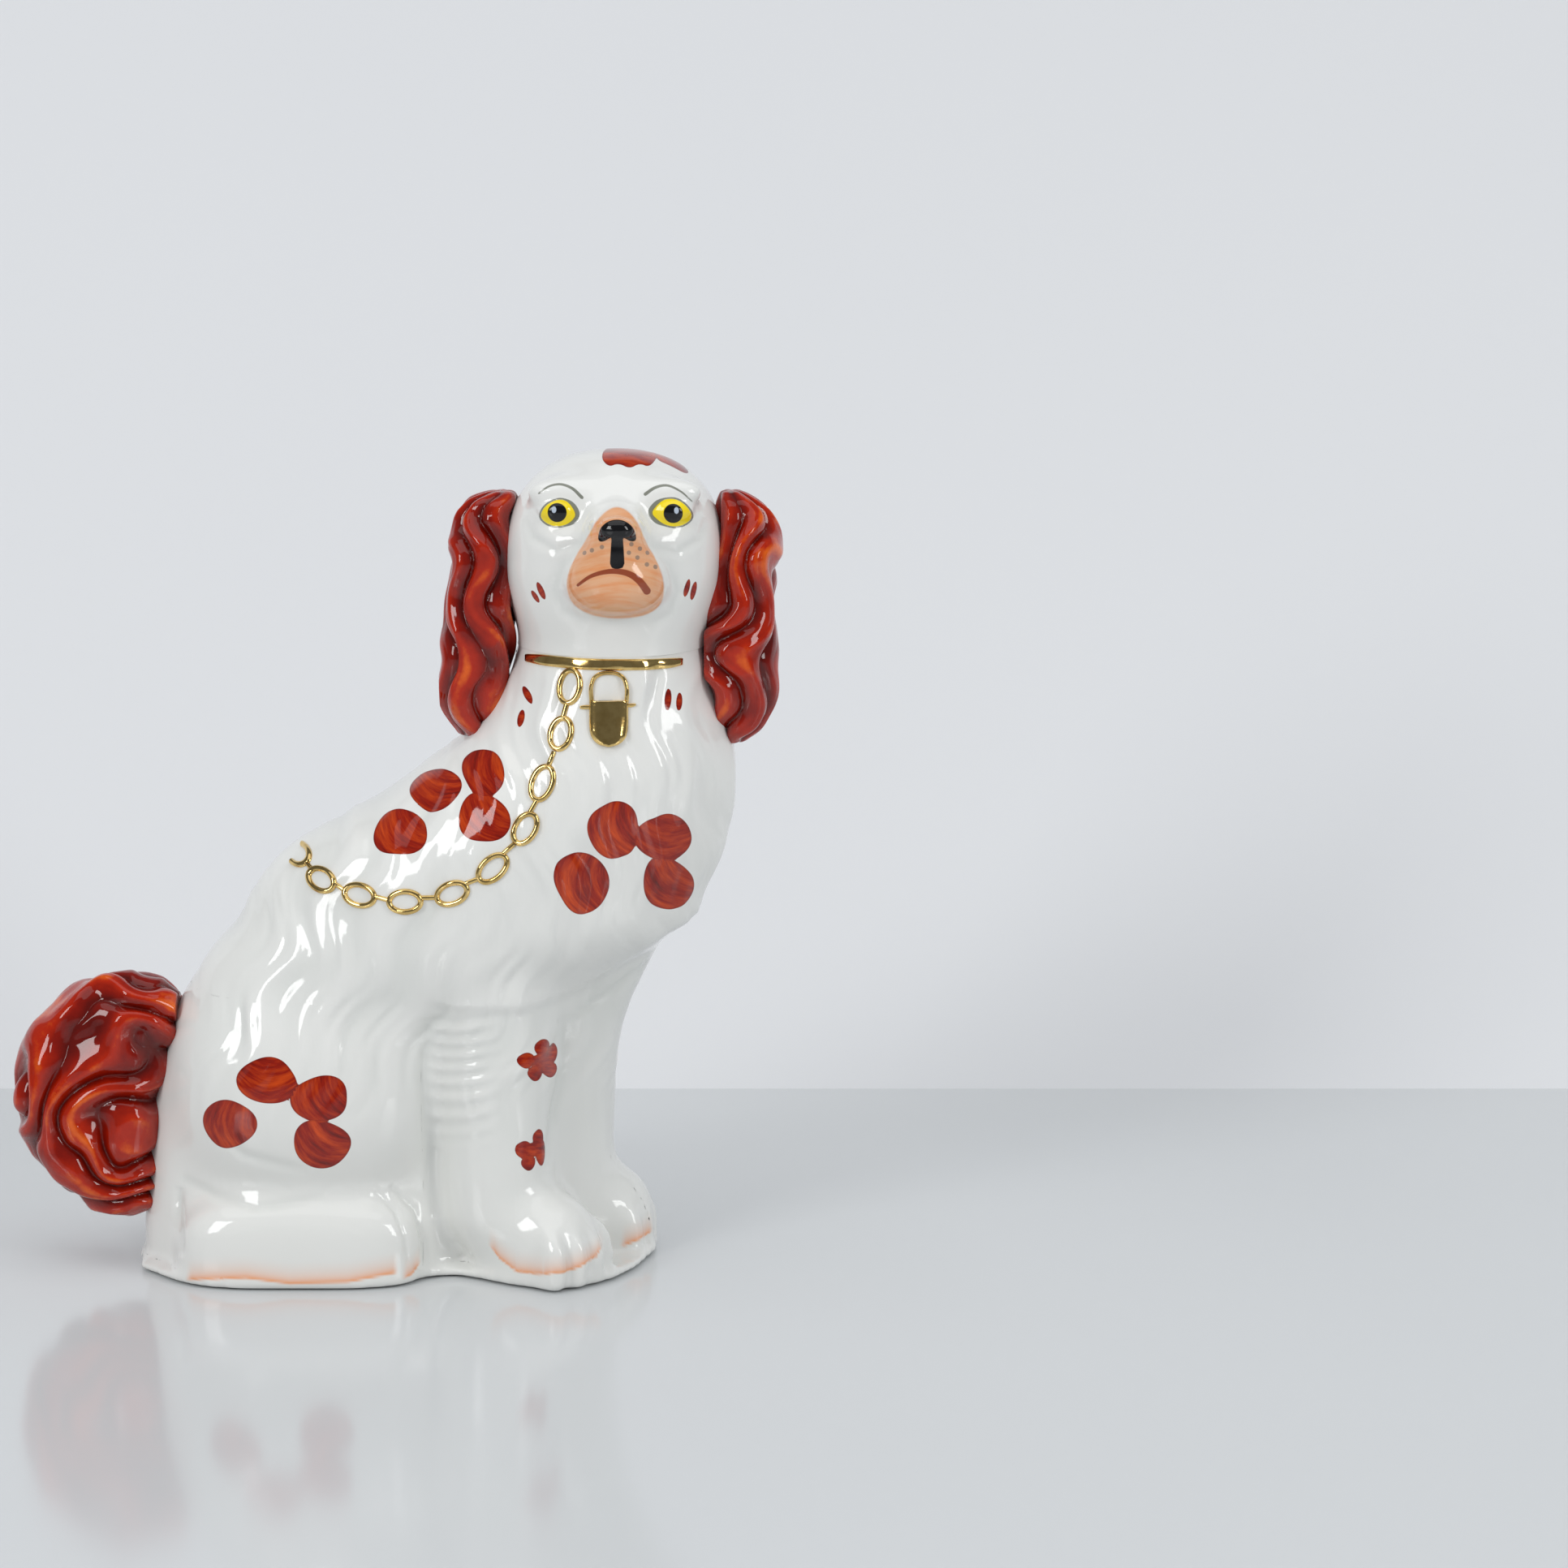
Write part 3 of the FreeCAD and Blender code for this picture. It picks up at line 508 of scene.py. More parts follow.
def press_grooves(across, down, near_side, grooves):
    height = np.zeros(len(across))
    for line, width, depth in grooves:
        gap, way = line_gap(across, down, line)
        height -= depth * np.exp(-((gap * PIXEL / width) ** 2) * 2) * near_side * np.sin(np.pi * way) ** 0.4
    return height


def wavy_locks(points, angle, width, length, seed):
    """Rounded locks of hair that run downhill, turned by an angle from upright."""
    c = math.cos(angle)
    s = math.sin(angle)
    across = c * points[:, 0] + s * points[:, 2]
    along = c * points[:, 2] - s * points[:, 0]
    clouds = Cloudy(seed)
    bend = clouds.at(np.stack([across / 30, along / 22, points[:, 1] / 60], 1))
    across = across + 5.0 * bend + 1.8 * np.sin(along / length * 4)
    long_locks = clouds.at(np.stack([across / width, along / length, points[:, 1] / 40], 1))
    fine_locks = clouds.at(np.stack([across / width * 2.3, along / length * 1.6, points[:, 1] / 40], 1) + 7)
    return long_locks + 0.35 * fine_locks


body_skin = mesh_of("body_skin", body_points, body_faces, 1)
skin_points = read_points(body_skin)
skin_normals = read_normals(body_skin)
body_across, body_down = to_photo(skin_points)
near_side = soft_step(-skin_normals[:, 1], -0.1, 0.35)
height_above = skin_points[:, 2]
chest = soft_step(skin_points[:, 0], 5, 55) * soft_step(height_above, 96, 120)
flank = soft_step(height_above, 36, 80) * (1 - chest)
upper = soft_step(height_above, 30, 50)
relief = CHEST_LOCK_HEIGHT * chest * wavy_locks(skin_points, *CHEST_LOCKS)
relief += FLANK_LOCK_HEIGHT * flank * wavy_locks(skin_points, *FLANK_LOCKS)
relief -= 0.3
skirt_down = np.interp(body_across, *np.array(CHEST_SKIRT, float).T)
skirt = soft_step(skirt_down - body_down, -5, 14) * soft_step(body_across, 505, 560) * near_side
relief += (1.5 * skirt - 0.4) * soft_step(body_across, 505, 560) * near_side * upper
ripple_mask = soft_step(body_across, 520, 545) * soft_step(-body_across, -625, -585) * near_side
ripple_mask *= soft_step(body_down, 1240, 1262) * soft_step(-body_down, -1425, -1370)
ripple_bend = 0.0034 * (body_across - 560) ** 2 + 4 * np.sin(body_down / 23)
ripple_phase = (body_down - RIPPLE_TOP + ripple_bend) * 2 * math.pi / RIPPLE_PITCH
relief += RIPPLE_HEIGHT * ripple_mask * np.cos(ripple_phase)
relief += press_grooves(body_across, body_down, near_side, GROOVES)
below_neck = soft_step(-height_above, 1 - NECK_RISE, 9 - NECK_RISE)
relief *= soft_step(height_above, 1.5, 6) * (0.15 + 0.85 * below_neck)
write_points(body_skin, skin_points + skin_normals * relief[:, None])
skin_points = read_points(body_skin)
skin_normals = read_normals(body_skin)
# Points beside a seam move onto it, so the cuts leave no slivers
SEAMS = [
    (1, 0.0),
    (2, SLAB_TOP),
    (2, NECK_RISE),
    (2, FORELEG_TOP),
    (0, NEAR_LEG_BACK),
    (0, FAR_LEG_BACK),
]
SEAM_SNAP = 0.25
ON_SEAM = 0.01
CUT_GRIP = 1e-6


def onto_seams(data, points, seams):
    for axis, place in seams:
        points[:, axis] = np.where(np.abs(points[:, axis] - place) < SEAM_SNAP, place, points[:, axis])
    write_points(data, points)
    return points


skin_points = onto_seams(body_skin, skin_points, SEAMS)

# Russet dabs of enamel on the coat, in the traditional groups of four, with two florets on the near
# foreleg and small ticks at the neck. Each dab: middle, half width, half height in pixels, brush angle.
DABS = [
    (493, 1026, 33, 30, 0.9),
    (538, 974, 33, 25, 0.4),
    (598, 954, 27, 29, 1.3),
    (597, 1009, 31, 31, 0.8),
    (755, 1022, 33, 34, 1.2),
    (816, 1031, 33, 30, 0.2),
    (716, 1086, 34, 38, 1.4),
    (820, 1087, 31, 33, 0.7),
    (329, 1332, 36, 30, 0.1),
    (394, 1354, 37, 28, 1.1),
    (282, 1385, 32, 31, 1.5),
    (396, 1410, 37, 29, 0.6),
]
PETALS = [
    (649, 1307, 11, 10),
    (670, 1292, 10, 12),
    (684, 1297, 7, 12),
    (680, 1318, 9, 10),
    (662, 1322, 10, 11),
    (668, 1307, 13, 10),
    (677, 1307, 8, 12),
    (665, 1403, 7, 12),
    (646, 1417, 11, 11),
    (652, 1433, 9, 10),
    (668, 1420, 7, 17),
    (657, 1417, 12, 9),
]
# Small leaf-shaped strokes: start, end and half width at the middle
NECK_TICKS = [
    ((648, 847), (656.5, 867), 4.4),
    ((646, 876), (641, 896), 4.2),
    ((822, 849), (820, 875), 4.4),
    ((835, 854), (833, 876), 3.8),
]
# Lines where the peach wash on the toes starts, sharp below and fading upwards over some pixels
WASHES = [
    ([(229, 1577), (303, 1575), (357, 1582), (428, 1580), (490, 1568)], 30),
    ([(496, 1576), (508, 1570), (519, 1556)], 28),
    ([(602, 1534), (615, 1551), (636, 1567), (672, 1571)], 30),
    ([(664, 1571), (696, 1568), (717, 1560), (735, 1548), (743, 1536)], 28),
    ([(765, 1536), (789, 1527), (805, 1516)], 30),
]


def blob(across, down, middle_across, middle_down, half_width, half_height, lean):
    """Distance in millimetres inside a brushed dab with an uneven edge."""
    u = (across - middle_across) / half_width
    v = (down - middle_down) / half_height
    angle = np.arctan2(v, u)
    edge = 1 + 0.05 * np.sin(2 * angle + lean * 9) + 0.045 * np.sin(3 * angle - lean * 7)
    edge += 0.018 * np.sin(4 * angle + lean * 5)
    return (edge - np.hypot(u, v)) * min(half_width, half_height) * PIXEL


def leaf_gap(across, down, start, end, half_width):
    """Signed distance in pixels inside a leaf-shaped stroke, widest at its middle."""
    gap, way = line_gap(across, down, [start, end])
    return half_width * (0.25 + 0.75 * np.sqrt(np.sin(math.pi * way))) - gap


def dab_paint(across, down, dabs):
    """Distance inside the nearest dab, and where each point lies along and across its brush."""
    inside = np.full(len(across), -3.0)
    brush = np.stack([0.35 * across, down, 0 * down], 1) * PIXEL
    for number, (middle_across, middle_down, half_width, half_height, lean) in enumerate(dabs):
        here = blob(across, down, middle_across, middle_down, half_width, half_height, lean)
        u = (across - middle_across) * PIXEL
        v = (down - middle_down) * PIXEL
        bow = 0.05 * (math.cos(lean) * u + math.sin(lean) * v) ** 2
        stroke = np.stack(
            [
                math.cos(lean) * v - math.sin(lean) * u + bow,
                0.16 * (math.cos(lean) * u + math.sin(lean) * v),
                np.full(len(u), 7.0 * number),
            ],
            1,
        )
        brush = np.where((here > inside)[:, None], stroke, brush)
        inside = np.maximum(inside, here)
    return inside, brush


russet, brush = dab_paint(body_across, body_down, DABS)
for middle_across, middle_down, half_width, half_height in PETALS:
    petal = blob(body_across, body_down, middle_across, middle_down, half_width, half_height, 0.3)
    russet = np.maximum(russet, petal)
for start, end, half_width in NECK_TICKS:
    russet = np.maximum(russet, leaf_gap(body_across, body_down, start, end, half_width) * PIXEL)
on_front = (skin_normals[:, 1] < 0.15) & (skin_points[:, 1] < 2)
russet = np.where(on_front, russet, -3.0)
wash = np.zeros(len(skin_points))
for line, fade in WASHES:
    line = np.array(line, float)
    over = np.interp(body_across, line[:, 0], line[:, 1]) - body_down
    ends = soft_step(body_across, line[0, 0] - 2, line[0, 0] + 8)
    ends = ends * soft_step(-body_across, -line[-1, 0] - 2, -line[-1, 0] + 6)
    strength = 0.22 * soft_step(-over, -fade, 0) + 0.78 * np.exp(-np.maximum(over, 0) / 5)
    wash = np.maximum(wash, ends * soft_step(over, -2, 1) * strength)
keep(body_skin, "russet", russet)
keep(body_skin, "brush", brush)
keep(body_skin, "wash", np.where(on_front, wash, 0))
keep(body_skin, "pool", np.clip(-relief, 0, 1.5))
keep(body_skin, "skin_normal", skin_normals)

GLAZE_WHITE = (0.83, 0.83, 0.80, 1)
GLAZE_POOL = (0.62, 0.645, 0.61, 1)
RUSSET_DEEP = (0.105, 0.003, 0.001, 1)
RUSSET_MIDDLE = (0.30, 0.011, 0.002, 1)
RUSSET_THIN = (0.64, 0.070, 0.006, 1)
PEACH_WASH = (0.88, 0.33, 0.11, 1)
PAINT_EDGE = 0.14


def read(tree, name, output="Fac"):
    holder = tree.nodes.new("ShaderNodeAttribute")
    holder.attribute_name = name
    return holder.outputs[output]


def spread(tree, value, low, high, start=0.0, end=1.0):
    """Maps a value from low to high onto start to end, and no further."""
    made = tree.nodes.new("ShaderNodeMapRange")
    tree.links.new(value, made.inputs["Value"])
    for socket, number in (("From Min", low), ("From Max", high), ("To Min", start), ("To Max", end)):
        made.inputs[socket].default_value = number
    return made.outputs["Result"]


def connect(tree, source, socket):
    """Puts a node's output or a plain value on a socket."""
    if isinstance(source, bpy.types.NodeSocket):
        tree.links.new(source, socket)
    else:
        socket.default_value = source


def mixed(tree, share, under, over):
    made = tree.nodes.new("ShaderNodeMixRGB")
    connect(tree, share, made.inputs["Fac"])
    connect(tree, under, made.inputs["Color1"])
    connect(tree, over, made.inputs["Color2"])
    return made.outputs["Color"]


def worked(tree, operation, first, second):
    made = tree.nodes.new("ShaderNodeMath")
    made.operation = operation
    connect(tree, first, made.inputs[0])
    connect(tree, second, made.inputs[1])
    return made.outputs["Value"]


def clouds(tree, place, scale, detail=3.0, roughness=0.5):
    made = tree.nodes.new("ShaderNodeTexNoise")
    connect(tree, place, made.inputs["Vector"])
    made.inputs["Scale"].default_value = scale
    made.inputs["Detail"].default_value = detail
    made.inputs["Roughness"].default_value = roughness
    return made.outputs["Fac"]


def colour_steps(tree, value, steps):
    made = tree.nodes.new("ShaderNodeValToRGB")
    tree.links.new(value, made.inputs["Fac"])
    made.color_ramp.elements[0].position, made.color_ramp.elements[0].color = steps[0]
    made.color_ramp.elements[1].position, made.color_ramp.elements[1].color = steps[-1]
    for position, colour in steps[1:-1]:
        made.color_ramp.elements.new(position).color = colour
    return made.outputs["Color"]


def glossy(tree, colour, roughness, bump_source=None, bump=0.0):
    """A clear glaze over a colour, with its output."""
    surface = tree.nodes.new("ShaderNodeBsdfPrincipled")
    surface.inputs["Roughness"].default_value = roughness
    surface.inputs["IOR"].default_value = 1.52
    tree.links.new(colour, surface.inputs["Base Color"])
    if bump_source:
        ripple = tree.nodes.new("ShaderNodeBump")
        ripple.inputs["Strength"].default_value = bump
        ripple.inputs["Distance"].default_value = 0.0004
        tree.links.new(bump_source, ripple.inputs["Height"])
        tree.links.new(ripple.outputs["Normal"], surface.inputs["Normal"])
    output = tree.nodes.new("ShaderNodeOutputMaterial")
    tree.links.new(surface.outputs["BSDF"], output.inputs["Surface"])
    return surface


def russet_colour(tree, brush_place, thickness):
    """Brushed enamel: streaks along the brush, darker where it pooled at an edge."""
    streaks = clouds(tree, brush_place, 0.9, detail=4.0, roughness=0.6)
    cloudy = clouds(tree, brush_place, 0.3, detail=1.0)
    streaks = worked(tree, "MULTIPLY", streaks, 0.8)
    amount = worked(tree, "ADD", streaks, worked(tree, "MULTIPLY", cloudy, 0.7))
    ramped = colour_steps(
        tree,
        spread(tree, amount, 0.45, 1.05),
        [(0.0, RUSSET_DEEP), (0.4, RUSSET_MIDDLE), (1.0, RUSSET_THIN)],
    )
    return mixed(tree, spread(tree, thickness, 0.0, 0.7, 0.55, 0.0), ramped, RUSSET_DEEP)


def object_place(tree):
    return tree.nodes.new("ShaderNodeTexCoord").outputs["Object"]


def glaze_base(tree):
    """White glaze, a little greener where it pools in the hollows."""
    tone = clouds(tree, object_place(tree), 18.0, detail=2.0)
    white = mixed(tree, spread(tree, tone, 0.3, 0.7, 0.0, 0.12), GLAZE_WHITE, GLAZE_POOL)
    return mixed(tree, spread(tree, read(tree, "pool"), 0.0, 1.5, 0.0, 0.4), white, GLAZE_POOL)


white_glaze, tree = new_material("white_glaze")
coat = glaze_base(tree)
coat = mixed(tree, read(tree, "wash"), coat, PEACH_WASH)
inside = read(tree, "russet")
enamel = russet_colour(tree, read(tree, "brush", "Vector"), inside)
coat = mixed(tree, spread(tree, inside, 0.0, PAINT_EDGE), coat, enamel)
glossy(tree, coat, 0.075, clouds(tree, object_place(tree), 120.0), 0.04)


def search_tree(data, points, normals):
    """What finds places on a skin: its search tree, the corners of its faces and its normals."""
    corners = [tuple(face.vertices) for face in data.polygons]
    return BVHTree.FromPolygons([tuple(point) for point in points], corners), corners, normals


coat_source = search_tree(body_skin, skin_points, skin_normals)


def cut_out(source, cuts, made=None):
    """The closed part of a closed skin on one side of each plane: axis, place in millimetres, side."""
    part = bmesh.new()
    part.from_mesh(source)
    for axis, place, side in cuts:
        normal = [0, 0, 0]
        normal[axis] = side
        spot = [0, 0, 0]
        spot[axis] = place * MM
        everything = part.verts[:] + part.edges[:] + part.faces[:]
        bmesh.ops.bisect_plane(
            part, geom=everything, dist=CUT_GRIP, plane_co=spot, plane_no=normal, clear_inner=True
        )
        rim = [edge for edge in part.edges if edge.is_boundary]
        for edge in rim:
            edge.smooth = False
        bmesh.ops.triangle_fill(part, use_beauty=False, use_dissolve=False, edges=rim)
    bmesh.ops.recalc_face_normals(part, faces=part.faces[:])
    data = bpy.data.meshes.new("part")
    part.to_mesh(data)
    part.free()
    made = made or bmesh.new()
    made.from_mesh(data)
    return made


def piece_of(name, made, material, node, source):
    """Finishes a cut skin as a piece that keeps the shading of the skin it was cut from."""
    data = bpy.data.meshes.new(name)
    made.to_mesh(data)
    made.free()
    flat = np.empty(len(data.vertices) * 3, np.float32)
    data.attributes["skin_normal"].data.foreach_get("vector", flat)
    shading = flat.reshape(-1, 3)
    places = read_points(data)
    on_cut = np.zeros(len(places), bool)
    for axis, place in SEAMS:
        on_cut |= np.abs(places[:, axis] - place) < ON_SEAM
    tree, corners, normals = source
    for spot in np.nonzero(on_cut)[0]:
        face = tree.find_nearest(Vector(places[spot]))[2]
        shading[spot] = normals[list(corners[face])].mean(axis=0)
    data.polygons.foreach_set("use_smooth", [True] * len(data.polygons))
    data.normals_split_custom_set_from_vertices(shading.tolist())
    data.attributes.remove(data.attributes["skin_normal"])
    finish_piece(name, data, material, node)


def finish_piece(name, data, material, node):
    data.polygons.foreach_set("use_smooth", [True] * len(data.polygons))
    data.materials.append(material)
    piece = bpy.data.objects.new(name, data)
    bpy.context.scene.collection.objects.link(piece)
    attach(piece, "root")
    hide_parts(node)


base = cut_out(body_skin, [(2, SLAB_TOP, 1), (2, NECK_RISE, -1)])
casting = bpy.data.meshes.new("casting")
base.to_mesh(casting)
base.free()
slab = cut_out(body_skin, [(2, SLAB_TOP, -1)])
piece_of("glazed_slab", slab, white_glaze, "base_slab", coat_source)
for name, side, leg_back in (("near", -1, NEAR_LEG_BACK), ("far", 1, FAR_LEG_BACK)):
    half_block = cut_out(casting, [(1, 0.0, side)])
    half = bpy.data.meshes.new("half")
    half_block.to_mesh(half)
    half_block.free()
    leg = cut_out(half, [(2, FORELEG_TOP, -1), (0, leg_back, 1)])
    piece_of("glazed_foreleg_" + name, leg, white_glaze, name + "_foreleg", coat_source)
    block = cut_out(half, [(2, FORELEG_TOP, 1)])
    block = cut_out(half, [(2, FORELEG_TOP, -1), (0, leg_back, -1)], block)
    piece_of("glazed_body_" + name, block, white_glaze, "body_%s_half" % name, coat_source)

# The head is pressed in two halves like the body and luted on: a domed skull, cheeks that run down into
# the neck, a pear-shaped muzzle with the nose on it, and eyes in soft sockets.
HEAD_PITCH = 0.9
FACE_GROOVES = [
    ([(648, 636), (656, 662), (684, 678), (712, 668), (728, 646)], 2.2, 0.55),
    ([(794, 650), (806, 672), (836, 680), (862, 664), (870, 638)], 2.2, 0.55),
    ([(735, 648), (716, 672), (694, 696), (683, 726), (694, 752), (724, 772)], 2.6, 0.6),
    ([(786, 648), (804, 674), (824, 700), (836, 730), (826, 756), (796, 776)], 2.6, 0.6),
]
CROWN_PATCH = [
    (745, 551), (776, 546), (806, 553), (811, 563), (800, 576), (788, 571), (776, 578), (762, 571),
    (750, 576), (740, 565),
]
CROWN_SLIVER = [(808, 556), (826, 561), (850, 580), (846, 585), (826, 574), (808, 566)]
CHEEK_TICKS = [
    ((662, 718), (671, 738), 3.9),
    ((655, 728), (664, 742), 3.2),
    ((849, 714), (844, 735), 3.4),
    ((857, 717), (852, 739), 3.6),
]
MUZZLE_PATCH = [
    (760, 623), (775, 629), (788, 646), (800, 668), (812, 694), (820, 722), (816, 745), (797, 759),
    (764, 764), (727, 759), (703, 744), (696, 718), (704, 690), (718, 664), (732, 644), (746, 629),
]
NOSE_CAP = [
    (736, 667), (737, 654), (744, 645), (754, 640), (766, 640), (776, 645), (783, 654), (785, 666),
    (777, 668), (768, 662), (753, 662), (744, 668),
]
NOSE_STEM = [(754, 652), (767, 652), (769, 680), (770, 699), (760, 702), (751, 699), (752, 680)]
# Each eye: its almond outline, the middle of the pupil and which way is outwards
EYES = [
    (
        [(664, 636), (672, 622), (688, 614), (702, 618), (713, 634), (704, 645), (686, 650), (672, 645)],
        (686.5, 631.5),
        -1,
    ),
    (
        [(799, 632), (812, 617), (829, 613), (844, 620), (855, 636), (844, 647), (828, 650), (810, 643)],
        (829.5, 632.5),
        1,
    ),
]
PUPIL_RADIUS = 12.0
# The painted reflection of a window in each pupil: its radius in pixels
PAINTED_REFLECTION_RADIUS = 4.4
WHISKER_RADIUS = 3.0
UNPAINTED = -99.0
# Brows: line, and half width at each end
BROWS = [
    ([(664, 608), (677, 599), (691, 596.5), (704, 601), (717, 613)], 1.2, 2.3),
    ([(795, 609), (807, 601), (820, 598), (838, 605), (853, 618)], 2.3, 1.0),
]
MOUTH = [(712, 721), (726, 711), (742, 705.5), (760, 704), (777, 708), (788, 716), (797, 728)]
WHISKERS = [
    (741.5, 674), (729, 678), (719.5, 681), (778, 670.5), (788.5, 676), (785.5, 687), (798, 681),
    (797, 695.5), (807.5, 698.5), (775, 681),
]


def rounded_outline(corners, rounds=2):
    """A closed outline with its corners cut a few times, so it turns softly."""
    corners = np.array(corners, float)
    for turn in range(rounds):
        after = np.roll(corners, -1, axis=0)
        corners = np.stack([0.75 * corners + 0.25 * after, 0.25 * corners + 0.75 * after], 1).reshape(-1, 2)
    return corners


def smooth_line(line, count):
    """More points along a line, on a smooth curve through the ones given."""
    line = np.array(line, float)
    way = np.concatenate([[0], np.cumsum(np.hypot(*np.diff(line[:, :2], axis=0).T))])
    table = np.column_stack([way, line])
    return smooth_steps(table, np.linspace(0, way[-1], count))[:, 1:]


def stroke_gap(across, down, line, start_width, end_width):
    """Signed distance in pixels inside a brush stroke that swells from one end to the other."""
    gap, way = line_gap(across, down, line)
    return start_width + (end_width - start_width) * way - gap


BOX_ROOM = 0.025


def into_box(points, node):
    """Keeps points inside the box of the node that they replace."""
    low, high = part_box(node)
    low = np.array(low) / MM
    high = np.array(high) / MM
    room = BOX_ROOM * (high - low)
    return np.clip(points, low - room, high + room)


# Forms of the head: middle, half sizes, roundness and fillet in millimetres
SKULL = ((67.5, -2, 222), (33.5, 32, 32), 2.3, 1.0)
NECK_TOP = 214
NECK_FILLET = 8.0
MUZZLE_FORMS = [
    ((69, -31, 229), (10.5, 15, 13), 2.0, 4.0),
    ((69, -30, 219), (15.5, 16, 11.5), 2.2, 4.0),
    ((69.4, -43.5, 235.5), (5.8, 4.5, 3.8), 2.0, 1.0),
]
EYE_PLACES = (51.6, 85.4)

head_clay = Clay((28, -56, NECK_RISE - 6), (108, 40, 262), HEAD_PITCH)
head_clay.add(head_clay.egg(SKULL[0], SKULL[1], power=SKULL[2]), SKULL[3])
neck_form = np.maximum(head_clay.loft(TORSO_ROWS), head_clay.between(0, NECK_TOP))
head_clay.add(neck_form, NECK_FILLET)
for middle, sizes, roundness, fillet in MUZZLE_FORMS:
    head_clay.add(head_clay.egg(middle, sizes, power=roundness), fillet)
# Brow, socket and eyeball on each side
for eye_x in EYE_PLACES:
    head_clay.add(head_clay.egg((eye_x, -23.0, 244.0), (9.0, 4, 3.4)), 7.0)
    head_clay.carve(head_clay.egg((eye_x, -31.5, 238.5), (8.5, 3.6, 5.5)), 3.5)
    head_clay.add(head_clay.egg((eye_x, -24.2, 238.5), (6.6, 5.6, 4.3)), 1.0)
head_points, head_faces = head_clay.skin(3)
head_skin = mesh_of("head_skin", head_points, head_faces, 1)
face_points = read_points(head_skin)
face_normals = read_normals(head_skin)
face_across, face_down = to_photo(face_points)
front = soft_step(-face_normals[:, 1], -0.1, 0.3)
face_relief = press_grooves(face_across, face_down, front, FACE_GROOVES)
face_relief += 0.12 * Cloudy(21).at(face_points / 9)
write_points(head_skin, face_points + face_normals * face_relief[:, None])
face_normals = read_normals(head_skin)
face_points = onto_seams(head_skin, read_points(head_skin), SEAMS[:3:2])
on_face = face_normals[:, 1] < 0.25


def painted(name, pixels):
    """Stores a painted area of the face: how far inside it each point lies, in millimetres."""
    keep(head_skin, name, np.where(on_face, pixels * PIXEL, -3.0))


crown = np.maximum(
    polygon_gap(face_across, face_down, rounded_outline(CROWN_PATCH)),
    polygon_gap(face_across, face_down, rounded_outline(CROWN_SLIVER)),
)
for start, end, half_width in CHEEK_TICKS:
    crown = np.maximum(crown, leaf_gap(face_across, face_down, start, end, half_width))
painted("russet", crown)
painted("peach", polygon_gap(face_across, face_down, rounded_outline(MUZZLE_PATCH)))
black = np.maximum(
    polygon_gap(face_across, face_down, rounded_outline(NOSE_CAP)),
    polygon_gap(face_across, face_down, rounded_outline(NOSE_STEM, 1)),
)
iris = np.full(len(face_points), UNPAINTED)
liner = np.full(len(face_points), UNPAINTED)
painted_reflection = np.full(len(face_points), UNPAINTED)
for almond, (pupil_across, pupil_down), outward in EYES:
    almond_gap = polygon_gap(face_across, face_down, rounded_outline(almond))
    iris = np.maximum(iris, almond_gap)
    inner = soft_step(-(face_across - pupil_across) * outward, 8, 24)
    liner = np.maximum(liner, 1.3 + 1.8 * inner - np.abs(almond_gap + 0.8))
    pupil_gap = np.hypot(face_across - pupil_across, face_down - pupil_down)
    black = np.maximum(black, PUPIL_RADIUS - pupil_gap)
    # A pale blue spot above and outward of each pupil's middle is a painted reflection of a window in the
    # glossy eye
    spot = np.hypot((face_across - pupil_across - 4 * outward) / 0.7, face_down - pupil_down + 3.5)
    painted_reflection = np.maximum(painted_reflection, PAINTED_REFLECTION_RADIUS - spot)
for line, start_width, end_width in BROWS:
    brow = stroke_gap(face_across, face_down, smooth_line(line, 20), start_width, end_width)
    liner = np.maximum(liner, brow)
dots = np.full(len(face_points), UNPAINTED)
for dot_across, dot_down in WHISKERS:
    dot_gap = np.hypot(face_across - dot_across, face_down - dot_down)
    dots = np.maximum(dots, WHISKER_RADIUS - dot_gap)
painted("black", black)
painted("iris", iris)
painted("liner", liner)
painted("painted_reflection", painted_reflection)
painted("dots", dots)
painted("mouth", stroke_gap(face_across, face_down, smooth_line(MOUTH, 24), 2.0, 5.0))
sweep = face_down - 0.004 * (face_across - 760) ** 2
keep(head_skin, "brush", np.stack([face_across * 0.16, sweep, face_points[:, 1] * 0], 1) * PIXEL)
keep(head_skin, "pool", np.clip(-1.6 * face_relief, 0, 1.5))
keep(head_skin, "skin_normal", face_normals)

face_source = search_tree(head_skin, face_points, face_normals)

PEACH = (0.80, 0.44, 0.25, 1)
PEACH_STROKE = (0.78, 0.27, 0.08, 1)
PAINT_BLACK = (0.004, 0.004, 0.005, 1)
IRIS_YELLOW = (0.93, 0.72, 0.02, 1)
IRIS_SHADE = (0.80, 0.50, 0.02, 1)
LINER_GREY = (0.16, 0.17, 0.13, 1)
DOT_GREY = (0.26, 0.20, 0.16, 1)
MOUTH_RED = (0.28, 0.05, 0.02, 1)
# The pale blue of the painted window reflection in each pupil
PAINTED_REFLECTION_BLUE = (0.52, 0.60, 0.70, 1)

